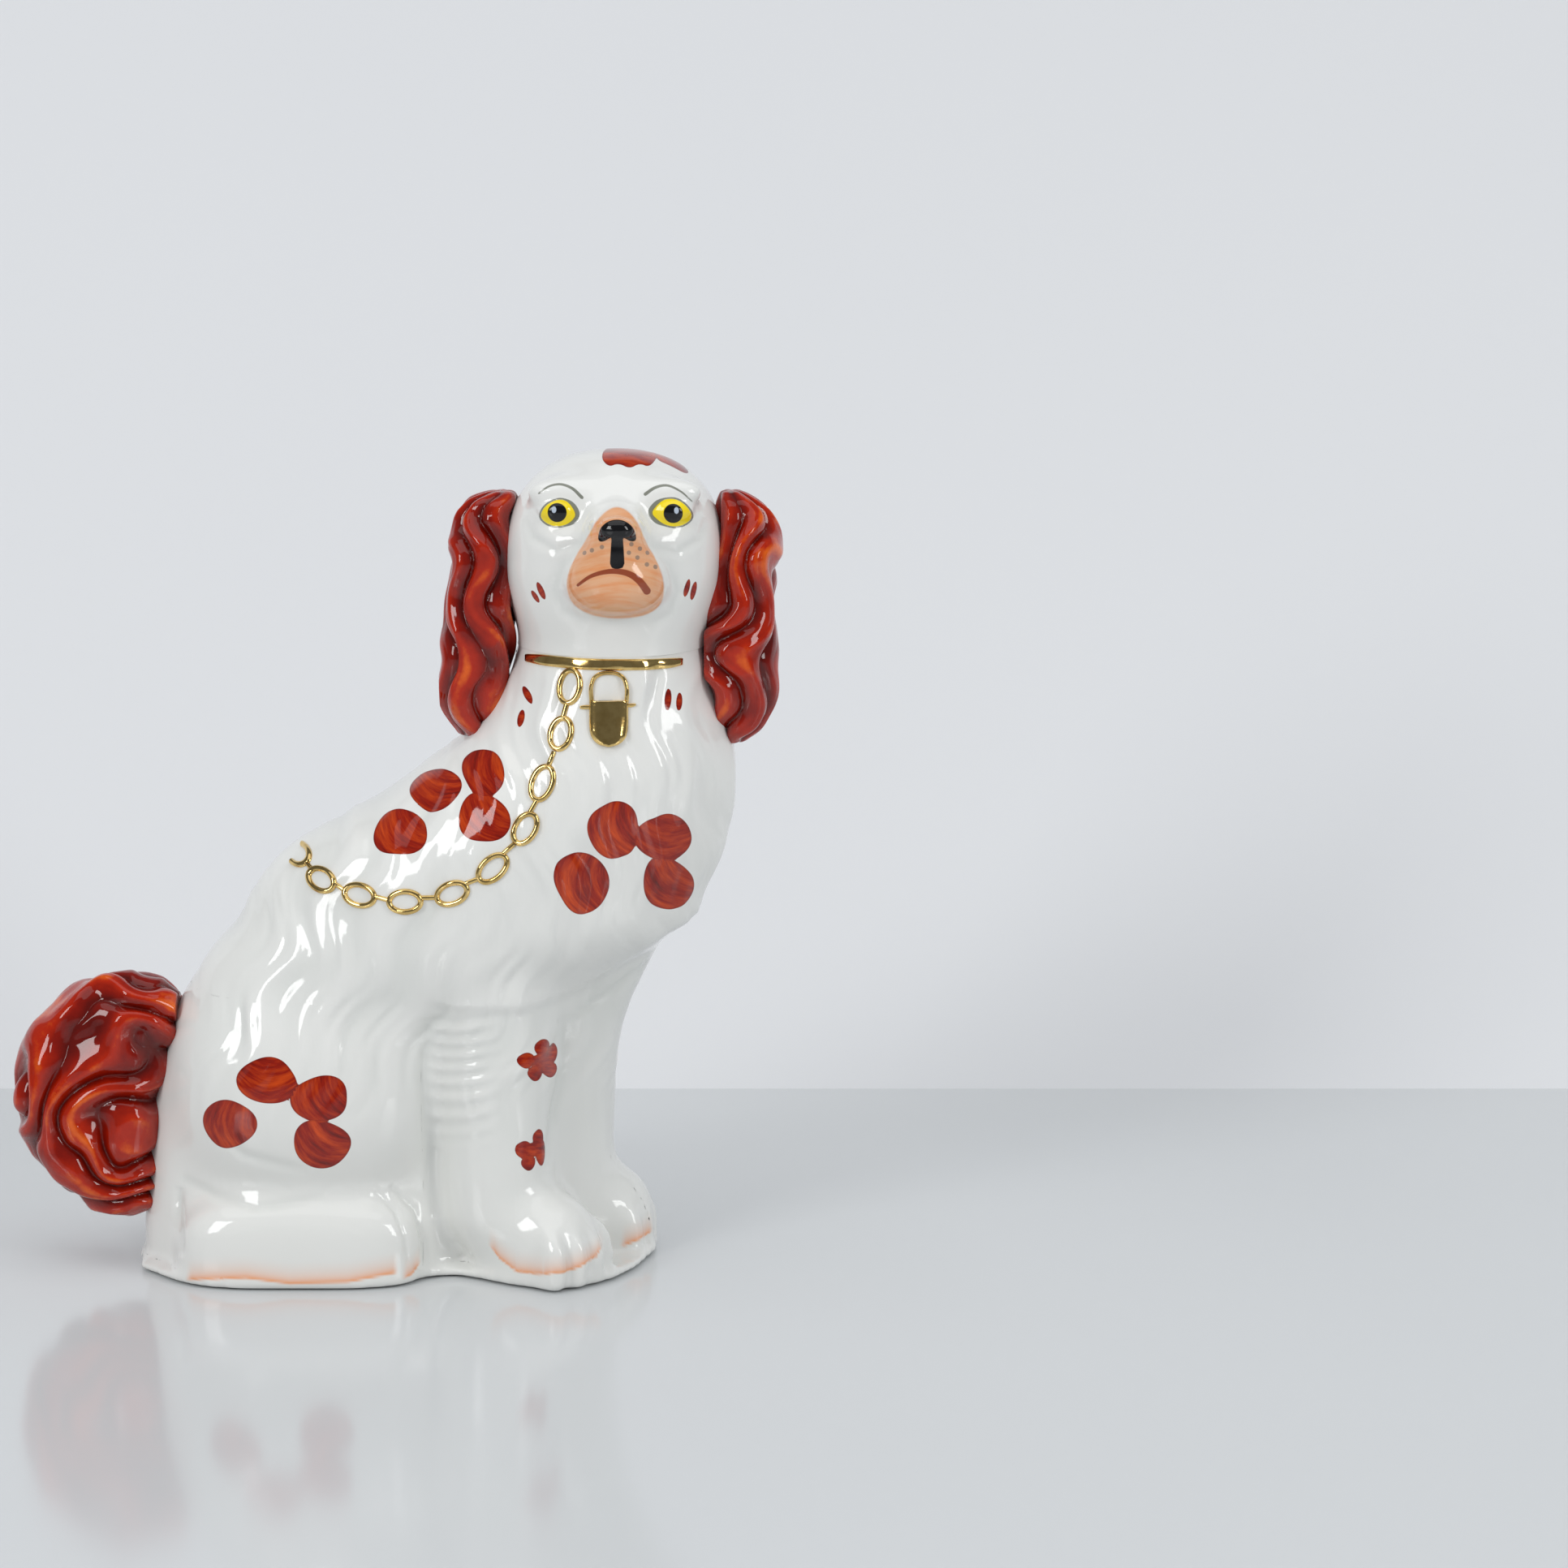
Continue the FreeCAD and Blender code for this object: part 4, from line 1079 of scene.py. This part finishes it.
painted_face, tree = new_material("painted_face")
coat = glaze_base(tree)
strokes = clouds(tree, read(tree, "brush", "Vector"), 0.55, detail=3.0)
peach_tone = mixed(tree, spread(tree, strokes, 0.42, 0.7, 0.0, 0.75), PEACH, PEACH_STROKE)
coat = mixed(tree, spread(tree, read(tree, "peach"), -0.1, 0.45), coat, peach_tone)
inside = read(tree, "russet")
enamel = russet_colour(tree, read(tree, "brush", "Vector"), inside)
coat = mixed(tree, spread(tree, inside, 0.0, PAINT_EDGE), coat, enamel)
iris_tone = mixed(tree, spread(tree, strokes, 0.45, 0.75, 0.0, 0.3), IRIS_YELLOW, IRIS_SHADE)
for layer, colour, strength in (
    ("dots", DOT_GREY, 0.8),
    ("mouth", MOUTH_RED, 0.95),
    ("iris", iris_tone, 1.0),
    ("liner", LINER_GREY, 0.9),
    ("black", PAINT_BLACK, 1.0),
    ("painted_reflection", PAINTED_REFLECTION_BLUE, 0.9),
):
    coat = mixed(tree, spread(tree, read(tree, layer), -0.05, 0.15, 0.0, strength), coat, colour)
glossy(tree, coat, 0.075, clouds(tree, object_place(tree), 120.0), 0.04)

for name, side in (("front", -1), ("back", 1)):
    made = cut_out(head_skin, [(2, NECK_RISE, 1), (1, 0.0, side)])
    piece_of("glazed_head_" + name, made, painted_face, "head_%s_half" % name, face_source)

# The ears are solid bunches of hair, carved in heavy S-shaped locks, luted on and washed all over with
# russet enamel, which runs thin on the ridges and pools dark in the grooves.
# Ear rows: height, left and right edge, half depth and middle depth in millimetres
RIGHT_EAR_ROWS = np.array(
    [
        (164.5, 21.0, 27.0, 5, -4),
        (168, 18.5, 30.5, 9, -4),
        (174, 15.0, 32.5, 12, -4),
        (182, 13.5, 34.0, 14, -4),
        (190, 14.5, 36.0, 15, -4),
        (198, 15.5, 37.0, 15, -4),
        (206, 15.5, 37.5, 15, -4),
        (214, 16.5, 38.0, 15, -3),
        (222, 17.0, 38.5, 14.5, -3),
        (230, 18.5, 38.5, 13, -2),
        (236, 21.0, 38.5, 11, -2),
        (240, 25.0, 38.0, 8, -2),
        (241.5, 29.0, 37.0, 4, -2),
    ]
)
LEFT_EAR_ROWS = np.array(
    [
        (164.0, 101.0, 107.0, 5, -4),
        (168, 97.5, 111.0, 9, -4),
        (174, 94.5, 115.0, 12, -4),
        (182, 92.5, 116.5, 14, -4),
        (190, 91.5, 117.0, 15, -4),
        (198, 91.5, 116.5, 15, -4),
        (206, 92.5, 116.0, 15, -4),
        (214, 94.0, 116.5, 15, -3),
        (222, 96.0, 117.5, 14.5, -3),
        (230, 98.0, 116.5, 13, -2),
        (236, 99.0, 113.0, 11, -2),
        (240, 99.5, 108.5, 8, -2),
        (241.5, 100.0, 106.0, 4, -2),
    ]
)

def carve_locks(name, clay, phase_of, depth, node):
    """A skin with locks carved in it: rounded ridges between sharp grooves, and fine hairs on them."""
    points, faces = clay.skin(2)
    data = mesh_of(name, points, faces, 1)
    points = read_points(data)
    normals = read_normals(data)
    phase, fade = phase_of(points)
    ridge = np.abs(np.sin(math.pi * phase)) ** 0.95
    hairs = np.abs(np.sin(math.pi * (3.1 * phase + 0.15 * np.sin(points[:, 2] / 3))))
    lumps = Cloudy(33).at(points / 9)
    carving = (depth * (ridge - 0.72) + 0.22 * hairs + 0.9 * lumps) * fade
    write_points(data, into_box(points + normals * carving[:, None], node))
    keep(data, "ridge", ridge * (0.8 + 0.2 * hairs))
    return data


CLAY_MARGIN = 5
EAR_PITCH = 0.85
EAR_LOCKS = 6
EAR_WAVES = 2.6
EAR_CARVING = 3.0
RUSSET_WASH_STEPS = [
    (0.0, (0.110, 0.003, 0.001, 1)),
    (0.35, (0.23, 0.006, 0.001, 1)),
    (0.72, (0.44, 0.018, 0.002, 1)),
    (1.0, (0.80, 0.14, 0.010, 1)),
]
russet_wash, tree = new_material("russet_wash")
place = object_place(tree)
worn = clouds(tree, place, 75.0, detail=5.0, roughness=0.6)
broad = clouds(tree, place, 32.0, detail=2.0)
ridges = worked(tree, "MULTIPLY", read(tree, "ridge"), 0.55)
amount = worked(tree, "ADD", ridges, worked(tree, "MULTIPLY", worn, 0.75))
amount = worked(tree, "ADD", amount, worked(tree, "MULTIPLY", broad, 0.45))
tone = colour_steps(tree, spread(tree, amount, 0.62, 1.32), RUSSET_WASH_STEPS)
glossy(tree, tone, 0.05, worn, 0.03)

for side_name, rows, turn in (("right", RIGHT_EAR_ROWS, 1), ("left", LEFT_EAR_ROWS, -1)):
    node = side_name + "_ear"
    low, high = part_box(node)
    ear_clay = Clay(np.array(low) / MM - CLAY_MARGIN, np.array(high) / MM + CLAY_MARGIN, EAR_PITCH)
    spots = smooth_steps(rows, ear_clay.z[0, 0])[:, 1:]
    across_low, across_high, deep, middle_y = spots.T.astype(np.float32)
    half = (across_high - across_low) / 2
    reach = np.sqrt(
        ((ear_clay.x - (across_low + across_high) / 2) / half) ** 2 + ((ear_clay.y - middle_y) / deep) ** 2
    )
    ear_form = np.maximum((reach - 1) * np.minimum(half, deep), ear_clay.between(rows[0, 0], rows[-1, 0]))
    ear_clay.add(ear_form, 1.0)

    def ear_phase(points, rows=rows, turn=turn):
        spots = smooth_steps(rows, np.clip(points[:, 2], rows[0, 0], rows[-1, 0]))
        angle = np.arctan2(points[:, 1] - spots[:, 4], points[:, 0] - (spots[:, 1] + spots[:, 2]) / 2)
        share = (points[:, 2] - rows[0, 0]) / (rows[-1, 0] - rows[0, 0])
        sway = 0.24 * np.sin(share * 2 * math.pi * EAR_WAVES + 0.6 + 1.6 * np.sin(angle))
        sway += 0.5 * Cloudy(31).at(points / 14)
        phase = EAR_LOCKS * angle / (2 * math.pi) + turn * (1.4 * share + sway)
        return phase, soft_step(share, -0.02, 0.08) * soft_step(1 - share, -0.02, 0.1)

    data = carve_locks(side_name + "_locks", ear_clay, ear_phase, EAR_CARVING, node)
    finish_piece("russet_ear_" + side_name, data, russet_wash, node)

# The tail is a solid plume that curls over and under at the rump, carved in long locks round the curl,
# luted on and washed with the same russet enamel as the ears.
TAIL_OUTLINE = [
    (163, 1192), (202, 1203), (237, 1234), (226, 1282), (217, 1313), (204, 1336), (211, 1361),
    (209, 1377), (204, 1400), (205, 1441), (201, 1484), (163, 1499), (135, 1492), (107, 1480),
    (84, 1468), (62, 1452), (42, 1424), (26, 1390), (20, 1356), (20, 1322), (30, 1284), (46, 1256),
    (70, 1232), (98, 1212), (130, 1198),
]
TAIL_MIDDLE = -5.0
TAIL_CURL = (172, 1390)
TAIL_LOCK_PITCH = 0.24
TAIL_HALF_DEPTH = 16.5
TAIL_ROUNDING = 15
TAIL_CARVING = 3.4
TAIL_PITCH = 1.0


def on_plane(across, down, y):
    """Where the ray through a pixel meets the upright plane at a depth, as x and z in millimetres."""
    ray = photo_ray(across, down)
    reach = (y - CAMERA_PLACE[1]) / ray.y
    return CAMERA_PLACE[0] + reach * ray.x, CAMERA_PLACE[2] + reach * ray.z


low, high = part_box("tail")
tail_clay = Clay(np.array(low) / MM - CLAY_MARGIN, np.array(high) / MM + CLAY_MARGIN, TAIL_PITCH)
tail_outline = [on_plane(across, down, TAIL_MIDDLE) for across, down in TAIL_OUTLINE]
tail_x = tail_clay.x[:, 0] + 0 * tail_clay.z[0]
tail_z = tail_clay.z[0] + 0 * tail_clay.x[:, 0]
flat_gap = -polygon_gap(tail_x, tail_z, tail_outline)
rim = np.maximum(1 + flat_gap / TAIL_ROUNDING, 0)[:, None, :]
depth_share = (tail_clay.y - TAIL_MIDDLE) / TAIL_HALF_DEPTH
plume = (np.sqrt(rim**2 + depth_share**2) - 1) * TAIL_ROUNDING
tail_clay.add(plume.astype(np.float32), 1.0)
curl_x, curl_z = on_plane(*TAIL_CURL, TAIL_MIDDLE)


def tail_phase(points):
    """Locks that sweep over the top, down the back and under, round a curl near the rump."""
    x = (points[:, 0] - curl_x) / 44
    z = (points[:, 2] - curl_z) / np.where(points[:, 2] > curl_z, 53, 31)
    share = np.hypot(x, z)
    angle = np.arctan2(z, -x)
    bend = 0.62 * Cloudy(32).at(points / 13) + 0.34 * np.sin(3 * angle + 9 * share)
    bend *= soft_step(share, 0.12, 0.4)
    return np.maximum(share / TAIL_LOCK_PITCH, 0.5) + bend, np.ones(len(points))


data = carve_locks("tail_locks", tail_clay, tail_phase, TAIL_CARVING, "tail")
finish_piece("russet_tail", data, russet_wash, "tail")

# The collar is a sprig like the padlock and the chain: a thin clay relief pressed in a small mould, luted
# on before glazing and gilded last. Each is drawn flat in the photograph's plane, then laid on the coat.
BEAD_SIDES = 16
# Lines in pixels of the photograph with half widths in pixels
COLLAR_LINE = [
    (649, 810.5), (664, 812.5), (690, 815.5), (718, 818), (747, 819), (778, 819), (805, 818.5),
    (826, 817), (840, 815),
]
COLLAR_HALF_WIDTHS = [5.0, 6.6, 7.0, 7.2, 7.2, 7.0, 6.8, 6.2, 4.6]
COLLAR_PROUD = 0.9
SPRIG_SUNK = 0.8


def bead(line, half_widths, proud, sunk, count, flat_top=0.0):
    """A bar laid flat along a line: points as pixels across and down and a height in millimetres."""
    rows = smooth_line(np.column_stack([line, half_widths]), count)
    along = np.gradient(rows[:, :2], axis=0)
    along /= np.hypot(*along.T)[:, None]
    points = []
    for (across, down, half), (run_x, run_y) in zip(rows, along):
        for step in range(BEAD_SIDES):
            angle = 2 * math.pi * step / BEAD_SIDES
            side = math.copysign(abs(math.cos(angle)) ** (1 - flat_top), math.cos(angle)) * half
            rise = math.copysign(abs(math.sin(angle)) ** (1 - flat_top), math.sin(angle))
            height = proud * rise if rise > 0 else sunk * rise
            points.append((across - run_y * side, down + run_x * side, height))
    faces = []
    for row in range(count - 1):
        for step in range(BEAD_SIDES):
            beside = (step + 1) % BEAD_SIDES
            low = row * BEAD_SIDES
            high = low + BEAD_SIDES
            faces.append((low + step, high + step, high + beside, low + beside))
    faces.append(tuple(range(BEAD_SIDES)))
    faces.append(tuple(range(len(points) - 1, len(points) - 1 - BEAD_SIDES, -1)))
    return points, faces


def lay(points):
    """Lays flat points on the coat along the camera's rays, as places in metres."""
    tree, corners, normals = coat_source
    start = Vector(CAMERA_PLACE)
    laid = []
    for across, down, height in points:
        hit, _, face, _ = tree.ray_cast(start, photo_ray(across, down))
        if hit is None:
            hit, _, face, _ = tree.find_nearest(Vector(laid[-1]) / MM)
        normal = Vector(normals[list(corners[face])].mean(axis=0)).normalized()
        laid.append(tuple((hit + normal * height) * MM))
    return laid


def face_outwards(data):
    turned = bmesh.new()
    turned.from_mesh(data)
    bmesh.ops.recalc_face_normals(turned, faces=turned.faces[:])
    turned.to_mesh(data)
    turned.free()


def sprig_mesh(name, beads):
    points = []
    faces = []
    for bead_points, bead_faces in beads:
        faces += [tuple(len(points) + corner for corner in face) for face in bead_faces]
        points += bead_points
    data = bpy.data.meshes.new(name)
    data.from_pydata(lay(points), [], faces)
    face_outwards(data)
    return data


GOLD_BRIGHT = (0.90, 0.64, 0.25, 1)
GOLD_WORN = (0.58, 0.38, 0.12, 1)
gilding, tree = new_material("gilding")
place = object_place(tree)
wear = clouds(tree, place, 260.0, detail=3.0)
tone = mixed(tree, spread(tree, wear, 0.45, 0.75), GOLD_BRIGHT, GOLD_WORN)
surface = glossy(tree, tone, 0.1, wear, 0.04)
surface.inputs["Metallic"].default_value = 1.0
tree.links.new(spread(tree, wear, 0.4, 0.8, 0.07, 0.24), surface.inputs["Roughness"])


def gilt(name, data, node):
    write_points(data, into_box(read_points(data), node))
    finish_piece(name, data, gilding, node)


collar_bead = bead(COLLAR_LINE, COLLAR_HALF_WIDTHS, COLLAR_PROUD, SPRIG_SUNK, 80, 0.3)
gilt("gilt_collar", sprig_mesh("collar_band", [collar_bead]), "collar")

# The padlock's body is a flat plate with a round foot, the thickest of the gilt sprigs.
LOCK_LINE = [
    (750, 860.5), (750, 863), (750, 868), (750, 880), (750, 893), (750, 903), (750, 911),
    (750, 916), (750, 919), (750, 920.5),
]
LOCK_HALF_WIDTHS = [21.5, 23.6, 24.2, 24.2, 24.2, 23.0, 19.5, 14.5, 9.0, 3.0]
LOCK_PROUD = 2.1
LOCK_SUNK = 0.9
lock_bead = bead(LOCK_LINE, LOCK_HALF_WIDTHS, LOCK_PROUD, LOCK_SUNK, 60, 0.35)
gilt("gilt_padlock", sprig_mesh("padlock_case", [lock_bead]), "padlock_body")

# The shackle is a round bow that rises from the plate to the collar, of the same gilt clay.
SHACKLE_LINE = [
    (729, 865), (728.5, 846), (732, 836), (740, 830.5), (750, 829), (761, 830.5), (768.5, 836),
    (772, 846), (772, 865),
]
SHACKLE_HALF_WIDTH = 2.7
SHACKLE_PROUD = 1.4
shackle_widths = [SHACKLE_HALF_WIDTH] * len(SHACKLE_LINE)
shackle_bead = bead(SHACKLE_LINE, shackle_widths, SHACKLE_PROUD, SPRIG_SUNK, 70)
gilt("gilt_shackle", sprig_mesh("padlock_bow", [shackle_bead]), "padlock_shackle")

# The pin's two ends stand out at the sides of the plate, tapered and gilt; the rest is inside it.
PIN_ENDS = [
    ([(714, 866), (720, 866), (727, 866)], [1.6, 3.0, 3.0]),
    ([(773, 863), (778, 863), (783, 862.5)], [3.0, 3.0, 1.6]),
]
PIN_PROUD = 1.1
pin_beads = [bead(line, half_widths, PIN_PROUD, SPRIG_SUNK, 14) for line, half_widths in PIN_ENDS]
pins = sprig_mesh("padlock_pins", pin_beads)
# The ends are centred on the height of the solid pin
low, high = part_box("padlock_pin")
pin_points = read_points(pins)
pin_points[:, 2] += ((low + high).z / MM - pin_points[:, 2].min() - pin_points[:, 2].max()) / 2
write_points(pins, pin_points)
gilt("gilt_pins", pins, "padlock_pin")

# The chain is a relief of oval links with short necks between them, gilt like the collar. The links are
# rings of round wire, repeated along the drape of the chain and laid on the coat.
# Middles of the chain's links in the photograph, from the collar to the flank; the last is half a link
CHAIN_PLACES = [
    (702, 846), (691, 904), (668, 965), (647, 1021), (607, 1070), (557, 1101), (499, 1111),
    (443, 1103), (396, 1084), (368, 1052),
]
CHAIN_START = (705, 822)
FIRST_PITCH = 62.0
LINK_HEIGHT = 0.15
# What a point of the chain holds: a whole link, a neck or the open half link
LINK, NECK, HALF_LINK = 0, 1, 2
chain_rows = np.array([CHAIN_START] + CHAIN_PLACES, float)
link_places = []
for number in range(1, len(chain_rows)):
    here = chain_rows[number]
    before = chain_rows[number - 1]
    following = chain_rows[min(number + 1, len(chain_rows) - 1)]
    along = (following - before) / np.hypot(*(following - before))
    kind = HALF_LINK if number == len(chain_rows) - 1 else LINK
    pitch = np.hypot(*(here - before)) if number > 1 else FIRST_PITCH
    link_places.append((here, along, pitch, kind))
    if number > 1:
        link_places.append(((here + before) / 2, along, 0.0, NECK))
# The chain's points stand on the flat plane of the photograph, one unit of the mesh to a pixel
seed = bpy.data.meshes.new("chain_places")
heres, alongs, pitches, kinds = zip(*link_places)
seed.from_pydata([(here[0], -here[1], 0) for here in heres], [], [])
keep(seed, "along", np.array([(along[0], -along[1], 0) for along in alongs]))
keep(seed, "pitch", np.array(pitches))
keep(seed, "kind", np.array(kinds, float))

CHAIN_INPUTS = {
    "Link Share": 0.66,
    "Link Width": 25.0,
    "Wire": 3.6,
    "Neck Length": 17.0,
    "Neck Wire": 3.0,
}
links_tree = bpy.data.node_groups.new("relief_chain", "GeometryNodeTree")
links_tree.interface.new_socket("Geometry", in_out="INPUT", socket_type="NodeSocketGeometry")
for socket_name in CHAIN_INPUTS:
    links_tree.interface.new_socket(socket_name, in_out="INPUT", socket_type="NodeSocketFloat")
links_tree.interface.new_socket("Material", in_out="INPUT", socket_type="NodeSocketMaterial")
links_tree.interface.new_socket("Geometry", in_out="OUTPUT", socket_type="NodeSocketGeometry")
chain_input = links_tree.nodes.new("NodeGroupInput")
chain_output = links_tree.nodes.new("NodeGroupOutput")


def graph(kind, sources, **choices):
    """A node of the chain's graph with its settings and what feeds it."""
    made = links_tree.nodes.new(kind)
    for name, value in choices.items():
        setattr(made, name, value)
    for socket, source in sources.items():
        if isinstance(source, bpy.types.NodeSocket):
            links_tree.links.new(source, made.inputs[socket])
        else:
            made.inputs[socket].default_value = source
    return made


def stored(name, data_type="FLOAT"):
    return graph("GeometryNodeInputNamedAttribute", {"Name": name}, data_type=data_type).outputs[0]


def calc(operation, first, second=0.0):
    return graph("ShaderNodeMath", {0: first, 1: second}, operation=operation).outputs[0]


def of_kind(number):
    return graph(
        "FunctionNodeCompare",
        {"A": stored("kind"), "B": float(number), "Epsilon": 0.1},
        data_type="FLOAT",
        operation="EQUAL",
    ).outputs[0]


aim = graph(
    "FunctionNodeAlignRotationToVector",
    {"Vector": stored("along", "FLOAT_VECTOR")},
    axis="X",
    pivot_axis="Z",
).outputs[0]
link_length = calc("MULTIPLY", stored("pitch"), chain_input.outputs["Link Share"])
link_size = graph(
    "ShaderNodeCombineXYZ", {"X": link_length, "Y": chain_input.outputs["Link Width"], "Z": 1.0}
).outputs[0]


def circle(count):
    sources = {"Resolution": count, "Radius": 0.5}
    return graph("GeometryNodeCurvePrimitiveCircle", sources, mode="RADIUS").outputs[0]


HALF_START = math.radians(95)
HALF_SWEEP = math.radians(200)
wire = circle(12)
parts = []
open_link = graph(
    "GeometryNodeCurveArc",
    {"Resolution": 26, "Radius": 0.5, "Start Angle": HALF_START, "Sweep Angle": HALF_SWEEP},
    mode="RADIUS",
).outputs["Curve"]
for kind, curve in ((LINK, circle(40)), (HALF_LINK, open_link)):
    rings = graph(
        "GeometryNodeInstanceOnPoints",
        {
            "Points": chain_input.outputs["Geometry"],
            "Selection": of_kind(kind),
            "Instance": curve,
            "Rotation": aim,
            "Scale": link_size,
        },
    ).outputs[0]
    rings = graph("GeometryNodeRealizeInstances", {"Geometry": rings}).outputs[0]
    parts.append((rings, chain_input.outputs["Wire"]))
neck = graph(
    "GeometryNodeCurvePrimitiveLine", {"Start": (-0.5, 0, 0), "End": (0.5, 0, 0)}, mode="POINTS"
).outputs[0]
necks = graph(
    "GeometryNodeInstanceOnPoints",
    {
        "Points": chain_input.outputs["Geometry"],
        "Selection": of_kind(NECK),
        "Instance": graph("GeometryNodeResampleCurve", {"Curve": neck, "Count": 8}).outputs[0],
        "Rotation": aim,
        "Scale": chain_input.outputs["Neck Length"],
    },
).outputs[0]
necks = graph("GeometryNodeRealizeInstances", {"Geometry": necks}).outputs[0]
parts.append((necks, chain_input.outputs["Neck Wire"]))
gathered = links_tree.nodes.new("GeometryNodeJoinGeometry")
for curves, thickness in parts:
    across = calc("MULTIPLY", thickness, 2.0)
    width = graph("ShaderNodeCombineXYZ", {"X": across, "Y": across, "Z": 1.0}).outputs[0]
    sized = graph("GeometryNodeTransform", {"Geometry": wire, "Scale": width}).outputs[0]
    swept = graph(
        "GeometryNodeCurveToMesh", {"Curve": curves, "Profile Curve": sized, "Fill Caps": True}
    )
    links_tree.links.new(swept.outputs[0], gathered.inputs[0])
joined = graph("GeometryNodeRealizeInstances", {"Geometry": gathered.outputs[0]}).outputs[0]
coloured = graph(
    "GeometryNodeSetMaterial", {"Geometry": joined, "Material": chain_input.outputs["Material"]}
)
links_tree.links.new(coloured.outputs[0], chain_output.inputs[0])

holder = bpy.data.objects.new("chain_places", seed)
bpy.context.scene.collection.objects.link(holder)
links_modifier = holder.modifiers.new("links", "NODES")
links_modifier.node_group = links_tree
for item in links_tree.interface.items_tree:
    if item.in_out == "INPUT" and item.name in CHAIN_INPUTS:
        links_modifier[item.identifier] = CHAIN_INPUTS[item.name]
    if item.in_out == "INPUT" and item.name == "Material":
        links_modifier[item.identifier] = gilding
chain_flat = bpy.data.meshes.new_from_object(holder.evaluated_get(bpy.context.evaluated_depsgraph_get()))
bpy.data.objects.remove(holder)
flat_points = read_points(chain_flat) * MM
laid_chain = lay([(x, -y, z * PIXEL + LINK_HEIGHT) for x, y, z in flat_points])
chain_flat.vertices.foreach_set("co", np.array(laid_chain, np.float32).ravel())
chain_flat.update()
face_outwards(chain_flat)
chain_flat.materials.clear()
gilt("gilt_chain", chain_flat, "chain")
